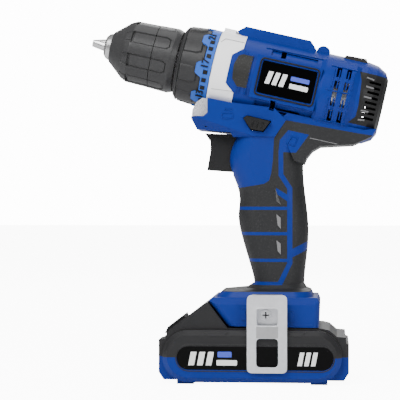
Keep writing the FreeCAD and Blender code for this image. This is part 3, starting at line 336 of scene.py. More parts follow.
def barrel_frame() -> Matrix:
    """The barrel's own frame in metres: x up across it, y across, z forward along the spindle."""
    spin = next(joint for joint in frame["joints"] if joint["name"] == "spindle_spin")
    forward = Vector(spin["axis"]).normalized()
    side = Vector((0.0, 1.0, 0.0))
    up = side.cross(forward)
    start = Vector(spin["pos_m"]) - forward * 0.050
    turn = Matrix((up, side, forward)).transposed().to_4x4()
    return Matrix.Translation(start) @ turn


def upright_frame() -> Matrix:
    """The handle's frame: x from the battery's middle to the rear, y across, z up."""
    low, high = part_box("battery_lower_shell")
    return Matrix.Translation(Vector(((low[0] + high[0]) / 2, 0.0, 0.0)))


BARREL = barrel_frame()
UPRIGHT = upright_frame()


class Shape:
    """A closed mesh under construction, in millimetres of a chosen frame."""

    def __init__(self) -> None:
        """Start empty."""
        self.mesh = bmesh.new()

    def prism(self, outline: Sequence[Point], low: float, high: float,
              place: Place) -> "Shape":
        """Extrude an outline between two levels and put each corner where a rule says.

        Args:
            outline: corner points in order.
            low: level of the first face.
            high: level of the second face.
            place: maps outline x, outline y and level to a point.

        Returns:
            This shape.
        """
        rings = [[self.mesh.verts.new((x, y, level)) for x, y in outline] for level in (low, high)]
        self.mesh.faces.new(reversed(rings[0]))
        self.mesh.faces.new(rings[1])
        count = len(outline)
        for index in range(count):
            after = (index + 1) % count
            self.mesh.faces.new((rings[0][index], rings[0][after], rings[1][after], rings[1][index]))
        for vertex in rings[0] + rings[1]:
            vertex.co = place(*vertex.co)
        return self

    def lathe(self, outline: Sequence[Point], steps: int = 96) -> "Shape":
        """Turn a closed half section, given as (radius, station), about z."""
        rings = []
        for step in range(steps):
            angle = 2 * math.pi * step / steps
            rings.append([self.mesh.verts.new((radius * math.cos(angle), radius * math.sin(angle), station))
                          for radius, station in outline])
        count = len(outline)
        for step in range(steps):
            here, there = rings[step], rings[(step + 1) % steps]
            for index in range(count):
                after = (index + 1) % count
                self.mesh.faces.new((here[index], there[index], there[after], here[after]))
        return self

    def relief(self, stations: Sequence[float], radius: Callable[[float, float], float],
               inside: Sequence[Point], steps: int = 360) -> "Shape":
        """Turn a section whose outside radius varies with the angle.

        Args:
            stations: where the outside is cut, in order.
            radius: outside radius at degrees and station.
            inside: (radius, station) points that close the section, from the last station back to the first.
            steps: cuts round the axis.

        Returns:
            This shape.
        """
        rings = []
        for step in range(steps):
            degrees = 360.0 * step / steps
            turn = math.radians(degrees)
            section = [(radius(degrees, station), station) for station in stations] + list(inside)
            rings.append([self.mesh.verts.new((reach * math.sin(turn), -reach * math.cos(turn), station))
                          for reach, station in section])
        count = len(rings[0])
        for step in range(steps):
            here, there = rings[step], rings[(step + 1) % steps]
            for index in range(count):
                after = (index + 1) % count
                self.mesh.faces.new((here[index], there[index], there[after], here[after]))
        return self

    def strip(self, route: Sequence[Point], width: float, low: float, high: float,
              place: Place, closed: bool = False,
              crown: float = 0.5, step: float = 2.0) -> "Shape":
        """Run a raised bar along a route.

        Args:
            route: corner points of its middle line.
            width: width of its foot.
            low: level of its foot.
            high: level of its crown.
            place: maps route x, route y and level to a point.
            closed: whether the route joins up.
            crown: width of the crown as a share of the foot.
            step: longest stretch without a cut.

        Returns:
            This shape.
        """
        points = [Vector(point) for point in finer_route(route, step, closed)]
        count = len(points)
        sections = []
        for index, point in enumerate(points):
            before = points[index - 1] if closed or index else point * 2 - points[1]
            last = not closed and index + 1 == count
            after = point * 2 - points[index - 1] if last else points[(index + 1) % count]
            first = (point - before).normalized()
            second = (after - point).normalized()
            middle = (first + second).normalized()
            across = Vector((-middle.y, middle.x)) * (width / 2 / max(0.5, middle.dot(first)))
            corners = [(point - across, low), (point + across, low), (point + across * crown, high),
                       (point - across * crown, high)]
            sections.append([self.mesh.verts.new(place(spot.x, spot.y, level)) for spot, level in corners])
        for index in range(count if closed else count - 1):
            here, there = sections[index], sections[(index + 1) % count]
            for corner in range(4):
                after = (corner + 1) % 4
                self.mesh.faces.new((here[corner], there[corner], there[after], here[after]))
        if not closed:
            self.mesh.faces.new(reversed(sections[0]))
            self.mesh.faces.new(sections[-1])
        return self

    def plate(self, outline: Sequence[Point], low: float, high: float,
              place: Place, holes: Sequence[Sequence[Point]] = ()) -> "Shape":
        """A flat plate with windows.

        Args:
            outline: its outer edge.
            low: level of its back.
            high: level of its front.
            place: maps outline x, outline y and level to a point.
            holes: outlines of its windows.

        Returns:
            This shape.
        """
        rings = [[self.mesh.verts.new((x, y, low)) for x, y in points] for points in (outline, *holes)]
        edges = [self.mesh.edges.new((ring[index], ring[(index + 1) % len(ring)]))
                 for ring in rings for index in range(len(ring))]
        filled = bmesh.ops.triangle_fill(self.mesh, use_beauty=True, edges=edges)
        faces = [item for item in filled["geom"] if isinstance(item, bmesh.types.BMFace)]
        upper = {vertex: self.mesh.verts.new((vertex.co.x, vertex.co.y, high))
                 for ring in rings for vertex in ring}
        for face in faces:
            self.mesh.faces.new([upper[vertex] for vertex in reversed(face.verts)])
        for ring in rings:
            for index, vertex in enumerate(ring):
                after = ring[(index + 1) % len(ring)]
                self.mesh.faces.new((vertex, after, upper[after], upper[vertex]))
        for vertex in list(upper) + list(upper.values()):
            vertex.co = place(*vertex.co)
        return self

    def piece(self, name: str, finish: str, body: str, place: Matrix, bevel: float = 0.0,
              smooth: float = 32.0) -> bpy.types.Object:
        """Turn the shape into a finished piece that rides on a body.

        Args:
            name: the piece's name.
            finish: its finish.
            body: the body it moves with.
            place: frame that the shape was drawn in.
            bevel: width of its rounded edges in millimetres.
            smooth: largest angle in degrees that is shaded smooth.

        Returns:
            The piece.
        """
        bmesh.ops.recalc_face_normals(self.mesh, faces=self.mesh.faces)
        data = bpy.data.meshes.new(name)
        self.mesh.to_mesh(data)
        self.mesh.free()
        data.transform(place @ Matrix.Scale(MM, 4))
        made = bpy.data.objects.new(name, data)
        bpy.context.scene.collection.objects.link(made)
        PALETTE.dress(made, finish)
        if bevel > 0:
            round_edges(made, bevel)
        data.set_sharp_from_angle(angle=math.radians(smooth))
        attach(made, body)
        return made


def round_edges(piece: bpy.types.Object, width: float, angle: float = 30.0, segments: int = 2) -> None:
    """Give a piece bevelled edges of a width in millimetres."""
    bevel = piece.modifiers.new("RoundedEdges", "BEVEL")
    bevel.width = width * MM
    bevel.segments = segments
    bevel.limit_method = "ANGLE"
    bevel.angle_limit = math.radians(angle)
    bevel.harden_normals = False


def rounded(points: Sequence[Point], radius: float, steps: int = 6) -> list[Point]:
    """Round every corner of a closed outline."""
    result = []
    for index, point in enumerate(points):
        corner = Vector(point)
        before = Vector(points[index - 1]) - corner
        after = Vector(points[(index + 1) % len(points)]) - corner
        start = corner + before.normalized() * min(radius, 0.48 * before.length)
        end = corner + after.normalized() * min(radius, 0.48 * after.length)
        for step in range(steps + 1):
            share = step / steps
            spot = start * (1 - share) ** 2 + corner * (2 * share * (1 - share)) + end * share ** 2
            result.append((spot.x, spot.y))
    return result


def rectangle(low_x: float, low_y: float, high_x: float, high_y: float) -> list[Point]:
    """Corners of an upright rectangle."""
    return [(low_x, low_y), (high_x, low_y), (high_x, high_y), (low_x, high_y)]


def stadium(middle: Point, reach: float, radius: float, steps: int = 14) -> list[Point]:
    """A long round-ended outline that lies along x."""
    return (arc((middle[0] + reach, middle[1]), radius, -90, 90, steps)
            + arc((middle[0] - reach, middle[1]), radius, 90, 270, steps))


def finer_route(route: Sequence[Point], step: float, closed: bool) -> list[Point]:
    """The same route with points added so that no stretch is longer than a step."""
    points = []
    pairs = list(zip(route, list(route[1:]) + ([route[0]] if closed else [])))
    for (x, y), (next_x, next_y) in pairs:
        parts = max(1, math.ceil(math.hypot(next_x - x, next_y - y) / step))
        points += [(x + (next_x - x) * part / parts, y + (next_y - y) * part / parts)
                   for part in range(parts)]
    return points if closed else points + [route[-1]]


def spread(start: float, end: float, step: float) -> list[float]:
    """Evenly spaced stations from start to end, both included."""
    parts = max(1, math.ceil(abs(end - start) / step))
    return [start + (end - start) * part / parts for part in range(parts + 1)]


def follow(points: Sequence[Point], station: float) -> float:
    """Radius at a station along straight runs between (station, radius) points."""
    for (low, first), (high, second) in zip(points, points[1:]):
        if low <= station <= high:
            return first + (second - first) * (station - low) / (high - low)
    return points[0][1] if station < points[0][0] else points[-1][1]


def on_round(side: Side, radius: float) -> Place:
    """Lay an outline of (up, forward) points on one flank of a round barrel."""
    def place(up: float, forward: float, depth: float) -> Vector:
        reach = radius + depth
        return Vector((up, side * math.sqrt(max(reach * reach - up * up, 0.0)), forward))
    return place


def on_side(side: Side, level: float) -> Place:
    """Lay an outline of (up, forward) points on one side of the barrel, level by level outwards."""
    return lambda up, forward, depth: Vector((up, side * (level + depth), forward))


def on_flank(side: Side, level: float) -> Place:
    """Lay an outline of (back, height) points on one flank of the handle or battery."""
    return lambda back, height, depth: Vector((back, side * (level + depth), height))


def on_skin(node: str, side: Side) -> Place:
    """Lay an outline of (back, height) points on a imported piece's own flank."""
    piece = frame["nodes"][node]
    inward = Vector((0.0, -side, 0.0))

    def place(back: float, height: float, depth: float) -> Vector:
        start = UPRIGHT @ Vector((back * MM, side * 0.08, height * MM))
        inverse = piece.matrix_world.inverted()
        hit, spot, _, _ = piece.ray_cast(inverse @ start, inverse.to_3x3() @ inward)
        face = (UPRIGHT.inverted() @ (piece.matrix_world @ spot)).y / MM if hit else 0.0
        return Vector((back, face + side * depth, height))
    return place


def round_barrel(radius: Callable[[float], float]) -> Place:
    """Wrap an outline of (degrees, station) points round the barrel axis.

    Args:
        radius: gives the surface's radius at a station.

    Returns:
        A rule for Shape.prism. Degrees count up from the left-hand side towards the top.
    """
    def place(degrees: float, station: float, depth: float) -> Vector:
        angle = math.radians(degrees)
        reach = radius(station) + depth
        return Vector((reach * math.sin(angle), -reach * math.cos(angle), station))
    return place


def arc(centre: Point, radius: float, start: float, end: float, steps: int = 8) -> list[Point]:
    """Points on an arc, with angles in degrees."""
    return [(centre[0] + radius * math.cos(math.radians(start + (end - start) * step / steps)),
             centre[1] + radius * math.sin(math.radians(start + (end - start) * step / steps)))
            for step in range(steps + 1)]


def finer(outline: Sequence[Point], step: float) -> list[Point]:
    """The same outline with points added so that no side's first coordinate jumps by more than a step."""
    points = []
    for index, (x, y) in enumerate(outline):
        next_x, next_y = outline[(index + 1) % len(outline)]
        parts = max(1, math.ceil(abs(next_x - x) / step))
        points += [(x + (next_x - x) * part / parts, y + (next_y - y) * part / parts)
                   for part in range(parts)]
    return points


# ---------------------------------------------------------------- sub-assemblies

class CadNodes:
    """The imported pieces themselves, dressed in the record's slots."""

    def build(self) -> None:
        """Dress every node and shade its edges sharp or smooth."""
        slots = {part["node"]: part["material_slot"] for part in frame["record"]["subparts"]}
        for name, node in frame["nodes"].items():
            PALETTE.dress(node, slots[name])
            node.data.set_sharp_from_angle(angle=math.radians(28.0))
        LOG.info("dressed %d nodes", len(frame["nodes"]))


@dataclass(frozen=True)
class Ridge:
    """A raised bar: its route, the width and depth of its foot, and how far its crown stands out."""

    route: Sequence[Point]
    width: float
    sunk: float
    proud: float
    closed: bool = False

    def run(self, shape: Shape, place: Place) -> None:
        """Add the bar to a shape."""
        shape.strip(self.route, self.width, -self.sunk, self.proud, place, closed=self.closed)


@dataclass
class Chuck:
    """The keyless chuck's two sleeves with their recessed grip panels."""

    rear_end: float = 49.4
    split_rear: float = 64.3
    split_front: float = 64.7
    front_end: float = 91.9
    panels: int = 8
    first: float = 25.5
    half: float = 12.2
    back: float = 54.5
    chamfer: float = 57.0
    chamfer_rate: float = 1.9
    recess: float = 0.45
    groove: float = 0.8
    groove_width: float = 0.6
    notch: float = 1.5
    notch_back: float = 77.3
    cone_back: float = 78.8
    cone_front: float = 83.0
    cone_rib: float = 7.0
    profile: tuple[Point, ...] = ((49.4, 19.0), (52.6, 20.2), (64.3, 19.7), (64.7, 19.6), (78.9, 19.2),
                                  (82.6, 17.4), (89.9, 11.1), (91.9, 9.5))
    front_bore: tuple[Point, ...] = ((9.5, 91.2), (14.9, 81.8), (15.2, 79.5), (17.9, 77.0), (17.9, 64.7))
    rear_bore: tuple[Point, ...] = ((17.1, 64.3), (17.1, 49.4))
    spacing: float = 0.34
    steps: int = 440

    def build(self) -> None:
        """Replace both plain sleeves."""
        stations = spread(self.split_front, self.front_end, self.spacing)
        front = Shape().relief(stations, self.radius, self.front_bore, self.steps)
        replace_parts(front.piece("chuck_front_sleeve", "sleeve_plastic", "sleeve", BARREL), "front_sleeve")
        stations = spread(self.rear_end, self.split_rear, self.spacing)
        rear = Shape().relief(stations, self.radius, self.rear_bore, self.steps)
        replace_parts(rear.piece("chuck_rear_sleeve", "sleeve_plastic", "spindle", BARREL), "rear_sleeve")
        LOG.info("chuck")

    def radius(self, degrees: float, station: float) -> float:
        """Radius of the sleeves' outside."""
        base = follow(self.profile, station)
        pitch = 360.0 / self.panels
        across = abs((degrees - self.first + pitch / 2) % pitch - pitch / 2)
        millimetre = math.radians(1.0) * base
        if self.cone_back < station < self.cone_front:
            return base - (self.recess if self.cone_rib < across < self.half - 1.0 else 0.0)
        half = self.half - max(0.0, self.chamfer - station) * self.chamfer_rate
        inside = min((half - across) * millimetre, station - self.back)
        if inside <= 0 or station > self.cone_back:
            return base
        if station > self.notch_back:
            return base - self.notch
        return base - (self.groove if inside < self.groove_width else self.recess)


@dataclass
class TorqueCollar:
    """The numbered ring that sets the clutch: scalloped band, numerals, dots and finger pads."""

    back: float = 26.4
    front: float = 48.2
    bore: tuple[Point, ...] = ((8.5, 48.2), (8.5, 45.4), (22.0, 45.4), (22.0, 26.4))
    profile: tuple[Point, ...] = ((26.4, 23.5), (31.5, 23.5), (31.6, 24.3), (33.0, 24.2), (46.5, 22.9),
                                  (48.2, 20.6))
    spacing: float = 0.4
    steps: int = 440
    band: float = 24.5
    taper_back: float = 33.0
    taper: float = 0.1
    first: float = 49.3
    step: float = 46.8
    labels: tuple[str, ...] = ("21", "17", "13", "9", "5", "1")
    dots: int = 3
    dot: tuple[float, float, float] = (3.0, 28.1, 30.9)
    digit_size: float = 6.16
    digit_weight: float = 0.14
    digit_foot: float = 28.6
    digit_lift: float = 0.62
    lobe_lag: float = 39.0
    lobe: tuple[Point, ...] = ((-14.5, 30.9), (14.5, 30.9), (11.5, 32.4), (8.8, 34.7), (6.4, 35.8),
                               (-6.4, 35.8), (-8.8, 34.7), (-11.5, 32.4))
    pads: int = 8
    pad_first: float = 27.6
    pad_half: float = 11.2
    pad_back: float = 34.8
    pad_front: float = 45.6
    pad_corner: float = 37.6
    pad_rise: float = 0.35
    pad_edge: float = 0.6
    degree: float = 0.41
    grooves: Point = (32.0, 46.0)
    recess: float = 1.0
    body: str = "torque_collar"

    def build(self) -> None:
        """Make the whole collar."""
        stations = spread(self.back, self.front, self.spacing)
        ring = Shape().relief(stations, self.ring_radius, self.bore, self.steps)
        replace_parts(ring.piece("torque_ring_shell", "ring_plastic", self.body, BARREL), "torque_ring")
        wrap = round_barrel(self.band_radius)
        self.lobes(wrap)
        self.squares(wrap)
        for index, label in enumerate(self.labels):
            self.numeral(label, self.first - index * self.step, wrap)
        LOG.info("torque collar")

    def band_radius(self, station: float) -> float:
        """Radius of the band and its lobes."""
        return self.band - max(0.0, station - self.taper_back) * self.taper

    def ring_radius(self, degrees: float, station: float) -> float:
        """Radius of the ring's outside, pads standing above the grooves."""
        base = follow(self.profile, station)
        if not self.grooves[0] <= station <= self.grooves[1]:
            return base
        pitch = 360.0 / self.pads
        across = (degrees - self.pad_first + pitch / 2) % pitch - pitch / 2
        half = self.pad_half - max(0.0, self.pad_corner - station) * 1.1
        edge = min((half - abs(across)) * self.degree, station - self.pad_back, self.pad_front - station)
        share = min(1.0, max(0.0, edge / self.pad_edge + 0.5))
        return base + self.pad_rise - self.recess * (1.0 - share)

    def lobes(self, wrap: Place) -> None:
        """The band's lobes, a little ahead of each numeral."""
        shape = Shape()
        for index in range(len(self.labels) + 2):
            middle = self.first + self.lobe_lag - index * self.step
            outline = [(middle + across, station) for across, station in self.lobe]
            shape.prism(finer(outline, 2.0), -0.8, 0.22, wrap)
        shape.piece("number_band_lobes", "band_blue", self.body, BARREL)

    def squares(self, wrap: Place) -> None:
        """Square dots between one numeral and the next."""
        half, low, high = self.dot
        places = self.dots + 1
        shape = Shape()
        for index in range(len(self.labels) * places - self.dots):
            degrees = self.first - index * self.step / places
            if index % places:
                shape.prism(rectangle(degrees - half, low, degrees + half, high), -0.3, 0.3, wrap)
        shape.piece("number_dots", "black_print_and_shade", self.body, BARREL)

    def numeral(self, label: str, degrees: float, wrap: Place) -> None:
        """One number, its foot towards the rear and its digits running up the ring."""
        curve = bpy.data.curves.new("digits", "FONT")
        curve.body = label
        curve.size = self.digit_size
        curve.align_x = "CENTER"
        curve.extrude = 0.3
        curve.offset = self.digit_weight
        holder = bpy.data.objects.new("digits", curve)
        bpy.context.scene.collection.objects.link(holder)
        graph = bpy.context.evaluated_depsgraph_get()
        data = bpy.data.meshes.new_from_object(holder.evaluated_get(graph))
        bpy.data.objects.remove(holder)
        shape = Shape()
        shape.mesh.from_mesh(data)
        bmesh.ops.remove_doubles(shape.mesh, verts=shape.mesh.verts, dist=0.0005)
        for vertex in shape.mesh.verts:
            across = math.degrees(vertex.co.x / 24.6)
            lift = self.digit_lift if vertex.co.z > 0 else -0.2
            vertex.co = wrap(degrees + across, self.digit_foot + vertex.co.y, lift)
        shape.piece(f"number_{label}", "black_print_and_shade", self.body, BARREL)


@dataclass
class GearCollar:
    """Seam and raised facet line of the pale collar behind the torque ring, drawn in grey: a dark joint for the
    seam, painted shade for the facet line.
    """

    radius: float = 25.4
    lines: tuple[Ridge, ...] = (Ridge(((-12.7, 23.8), (-11.5, 10.6)), 0.5, 0.3, 0.18),
                                # this line's grey paints the shade of the collar's top facet
                                Ridge(((16.5, 24.6), (19.2, 22.4), (19.2, 10.6)), 0.6, 0.3, 0.3))

    def build(self) -> None:
        """Make both flanks' lines."""
        shape = Shape()
        for side in Side:
            for line in self.lines:
                line.run(shape, on_round(side, self.radius))
        shape.piece("collar_lines", "seam_and_facet_shade_grey", "housing", BARREL)
        LOG.info("gear collar")


@dataclass
class MotorHousing:
    """Raised lines, ledges and vent bridges on the motor housing's flanks."""

    radius: float = 25.4
    drum: float = 27.2
    ridges: tuple[Ridge, ...] = (Ridge(((19.5, -3.0), (20.0, -40.0)), 1.1, 0.5, 0.55),
                                 Ridge(((-16.9, -3.4), (-16.9, -38.2)), 1.0, 0.4, 0.5),
                                 Ridge(((-18.6, -4.0), (-18.9, -41.0)), 1.3, 0.4, 0.7),
                                 Ridge(((-12.0, 3.4), (12.4, 3.4)), 1.4, 0.5, 0.9),
                                 Ridge(((-11.5, 7.0), (13.4, 7.0)), 0.9, 0.5, 0.6))
    vent_spans: tuple[Point, ...] = ((3.6, 15.4), (-14.4, -2.2))
    vent_stations: tuple[float, ...] = (-46.6, -49.9, -55.5, -58.8)
    bridge_levels: tuple[float, ...] = (1.9, 17.2, -16.4)
    bridge_ends: Point = (-44.0, -60.0)

    def build(self) -> None:
        """Make everything on both flanks."""
        shape = Shape()
        rims = [Ridge(((low, station), (high, station)), 0.9, 0.4, 0.55)
                for low, high in self.vent_spans for station in self.vent_stations]
        bridges = [Ridge([(up, station) for station in self.bridge_ends], 1.0, 0.4, 0.5)
                   for up in self.bridge_levels]
        for side in Side:
            for ridge in self.ridges:
                ridge.run(shape, on_round(side, self.radius))
            for ridge in rims + bridges:
                ridge.run(shape, on_round(side, self.drum))
        shape.piece("flank_ridges", "blue_shell", "housing", BARREL, 0.15)
        LOG.info("motor housing")


@dataclass
class RearCap:
    """Short light-grey fins in the rear cap's louvres, whose grey paints highlights in the slots, and a ring
    inside that keeps light from passing through.
    """

    fins: tuple[tuple[Point, Point], ...] = (((14.5, -66.3), (13.9, -71.0)), ((9.0, -67.0), (8.7, -71.8)),
                                             ((2.6, -67.0), (2.6, -71.8)), ((-5.9, -67.0), (-5.7, -71.8)),
                                             ((-11.6, -66.5), (-11.0, -70.6)))
    profile: tuple[Point, ...] = ((-79.6, 17.0), (-77.4, 21.2), (-72.0, 24.4), (-66.0, 25.4), (-60.0, 25.4))
    baffle: tuple[Point, ...] = ((14.2, -69.6), (15.6, -69.6), (14.9, -75.8), (13.5, -75.8))

    def build(self) -> None:
        """Make the fins on both sides and the ring."""
        shape = Shape()
        for side in Side:
            for route in self.fins:
                Ridge(route, 1.7, 1.2, 0.5).run(shape, self.wrap(side))
        # the fins' grey is painted highlight
        shape.piece("louvre_fins", "louvre_highlight_grey", "housing", BARREL, 0.2)
        Shape().lathe(self.baffle).piece("exhaust_baffle", "black_plastic", "housing", BARREL)
        LOG.info("rear cap")

    def wrap(self, side: Side) -> Place:
        """Lay points on the cap's flank, which narrows to the rear."""
        def place(up: float, forward: float, depth: float) -> Vector:
            reach = follow(self.profile, forward) + depth
            return Vector((up, side * math.sqrt(max(reach * reach - up * up, 0.0)), forward))
        return place


@dataclass
class NamePlates:
    """The glossy plates on the flanks, with plain stripes and bars on them."""

    face: float = 25.9
    bottom: float = -8.9
    top: float = 10.9
    front: float = -3.4
    rear: float = -37.0
    corner: float = 2.2
    stripes: int = 3
    stripe_first: float = -7.0
    stripe_step: float = 4.3
    stripe: tuple[Point, ...] = ((-2.6, 0.0), (5.2, -1.4), (5.2, -4.2), (-2.6, -2.8))
    upper_bar: tuple[float, ...] = (2.2, -33.4, 4.9, -22.0)
    lower_bar: tuple[float, ...] = (-2.5, -33.4, 0.4, -22.0)
    print_levels: Point = (0.2, 0.46)

    def build(self) -> None:
        """Make plate, frame, stripes and bars on both flanks."""
        plates, frames, marks, accents = Shape(), Shape(), Shape(), Shape()
        outline = rounded(rectangle(self.bottom, self.rear, self.top, self.front), self.corner)
        border = rectangle(self.bottom - 1.3, self.rear - 1.1, self.top + 1.3, self.front + 1.1)
        rim = Ridge(rounded(border, 2.6), 1.3, 0.4, 0.75, closed=True)
        for side in Side:
            place = on_side(side, self.face)
            plates.plate(outline, -0.5, 0.3, place)
            rim.run(frames, place)
            for index in range(self.stripes):
                start = self.stripe_first - self.stripe_step * index
                stripe = [(up, start + forward) for up, forward in self.stripe]
                marks.plate(stripe, *self.print_levels, place)
            accents.plate(rounded(rectangle(*self.upper_bar), 0.6), *self.print_levels, place)
            marks.plate(rounded(rectangle(*self.lower_bar), 0.6), *self.print_levels, place)
        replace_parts(plates.piece("flank_plates", "gloss_plate", "housing", BARREL, 0.25), "name_plates")
        frames.piece("plate_frames", "black_plastic", "housing", BARREL, 0.15)
        marks.piece("plate_bars", "plate_mark", "housing", BARREL)
        accents.piece("plate_accents", "plate_blue", "housing", BARREL)
        LOG.info("plates")


@dataclass
class Chin:
    """Outlined marks on the flank under the barrel, and finger ridges on the direction lever."""

    lever_face: float = 25.2
    lever_ridges: tuple[tuple[Point, Point], ...] = (
        ((-1.6, 154.6), (-0.4, 158.4)), ((1.4, 154.2), (2.6, 157.8)), ((4.4, 153.8), (5.6, 157.2)))
    recess: tuple[float, ...] = (-19.6, 159.6, -13.0, 162.8)
    slot: tuple[float, ...] = (-17.8, 164.4, -13.2, 165.6)

    def build(self) -> None:
        """Make both flanks' marks and the lever's finger ridges."""
        ridges, marks = Shape(), Shape()
        recess = Ridge(rounded(rectangle(*self.recess), 0.8), 0.8, 0.4, 0.4, closed=True)
        slot = Ridge(rounded(rectangle(*self.slot), 0.5), 0.6, 0.4, 0.3, closed=True)
        for side in Side:
            for route in self.lever_ridges:
                Ridge(route, 1.1, 0.3, 0.55).run(ridges, on_flank(side, self.lever_face))
            skin = on_skin(side.node("housing"), side)
            recess.run(marks, skin)
            slot.run(marks, skin)
        marks.piece("chin_marks", "blue_shell", "housing", UPRIGHT)
        ridges.piece("lever_ridges", "black_plastic", "direction_lever", UPRIGHT, 0.15)
        LOG.info("chin")


@dataclass
class Grip:
    """Facets, rim lines and the embossed mark on the handle's flanks; the facets and rims are a light grey that
    paints highlights on the black rubber.
    """

    wedges: tuple[tuple[float, float, float], ...] = ((12.6, 117.0, 107.2), (13.2, 101.6, 92.6),
                                                      (13.2, 85.8, 77.0))
    wedge_rear: float = 15.9
    wedge_slope: float = 2.2
    rim: Ridge = Ridge(((33.6, 147.6), (50.0, 143.9)), 0.7, 0.4, 0.3)
    mark: Ridge = Ridge(((22.7, 148.6), (26.2, 147.8), (24.2, 142.9), (19.8, 144.0)), 0.7, 0.4, 0.45, True)

    def build(self) -> None:
        """Make both flanks."""
        facets, rims, marks = Shape(), Shape(), Shape()
        for side in Side:
            rubber = on_skin(side.node("grip_rubber"), side)
            for front, top, bottom in self.wedges:
                wedge = [(front, top), (self.wedge_rear, top - self.wedge_slope), (self.wedge_rear, bottom),
                         (front + 0.8, bottom + self.wedge_slope)]
                facets.prism(wedge, -0.8, 0.55, rubber)
            self.rim.run(rims, rubber)
            self.mark.run(marks, on_skin(side.node("housing"), side))
        # facets and rims are light grey: painted highlight on the rubber
        facets.piece("grip_facets", "rubber_highlight_grey", "housing", UPRIGHT, 0.2)
        rims.piece("grip_rims", "rubber_highlight_grey", "housing", UPRIGHT)
        marks.piece("patch_mark", "blue_shell", "housing", UPRIGHT)
        LOG.info("grip")


@dataclass
class TriggerSpring:
    """The spring behind the trigger."""

    fixed_end: float = 0.0125
    keep: float = 0.12

    def build(self) -> None:
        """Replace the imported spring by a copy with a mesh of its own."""
        packed = frame["nodes"]["trigger_spring"]
        data = packed.data.copy()
        data.transform(packed.matrix_world)
        spring = bpy.data.objects.new("trigger_coil", data)
        bpy.context.scene.collection.objects.link(spring)
        PALETTE.dress(spring, "zinc_steel")
        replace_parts(spring, "trigger_spring")
        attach(spring, "housing")
        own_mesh(spring)
        LOG.info("trigger spring")


@dataclass
class Foot:
    """Raised bosses on the handle's foot."""

    bosses: tuple[tuple[float, ...], ...] = ((-7.6, 38.4, -4.6, 44.8), (21.4, 37.0, 24.2, 43.6))
    corner: float = 1.2

    def build(self) -> None:
        """Make the bosses beside the belt clip."""
        shape = Shape()
        for side in Side:
            place = on_skin(side.node("housing"), side)
            for corners in self.bosses:
                shape.plate(rounded(rectangle(*corners), self.corner), -1.6, 0.8, place)
        shape.piece("foot_bosses", "blue_shell", "housing", UPRIGHT, 0.3)
        LOG.info("foot")


@dataclass
class Battery:
    """The pack's label with plain stripes and bars, its rim, and low pads on the shell above it."""

    middle: float = 1.2
    reach: float = 47.2
    bottom: float = 8.3
    top: float = 24.0
    stripes: tuple[Point, ...] = ((-38.5, 3.4), (-33.3, 3.4), (-28.1, 3.4), (26.4, 2.6), (30.4, 2.6),
                                  (34.4, 2.6))
    stripe_levels: Point = (11.8, 19.8)
    stripe_lean: float = 1.6
    lower_bar: tuple[float, ...] = (-21.6, 11.8, -9.4, 15.0)
    upper_bar: tuple[float, ...] = (-21.0, 16.6, -12.6, 20.0)
    print_levels: Point = (-0.2, 0.22)
    pads: tuple[Point, ...] = ((-29.9, -14.5), (20.1, 31.4))
    pad_levels: Point = (31.6, 29.2)

    def build(self) -> None:
        """Make everything on both sides."""
        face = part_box("battery_labels")[1][1] / MM
        rims, marks, accents, pads = Shape(), Shape(), Shape(), Shape()
        radius = (self.top - self.bottom) / 2
        outline = stadium((self.middle, (self.bottom + self.top) / 2), self.reach - radius, radius)
        for side in Side:
            place = on_flank(side, face)
            Ridge(outline, 1.2, 1.4, 0.5, closed=True).run(rims, place)
            for start, width in self.stripes:
                marks.plate(self.stripe(start, width), *self.print_levels, place)
            marks.plate(rounded(rectangle(*self.lower_bar), 0.7), *self.print_levels, place)
            accents.plate(rounded(rectangle(*self.upper_bar), 0.7), *self.print_levels, place)
            shell = on_skin("battery_upper_shell", side)
            high, low = self.pad_levels
            for left, right in self.pads:
                pad = [(left, high), (right, high), (right - 2.6, low), (left + 3.2, low)]
                pads.prism(pad, -0.5, 0.5, shell)
        pads.piece("shell_notches", "pack_black", "battery", UPRIGHT, 0.2)
        rims.piece("label_rims", "pack_black", "battery", UPRIGHT, 0.15)
        marks.piece("label_bars", "plate_mark", "battery", UPRIGHT)
        accents.piece("label_accents", "plate_blue", "battery", UPRIGHT)
        LOG.info("battery, label face %.2f mm", face)

    def stripe(self, start: float, width: float) -> list[Point]:
        """Outline of one leaning stripe."""
        low, high = self.stripe_levels
        return [(start, low), (start + width, low), (start + width + self.stripe_lean, high),
                (start + self.stripe_lean, high)]


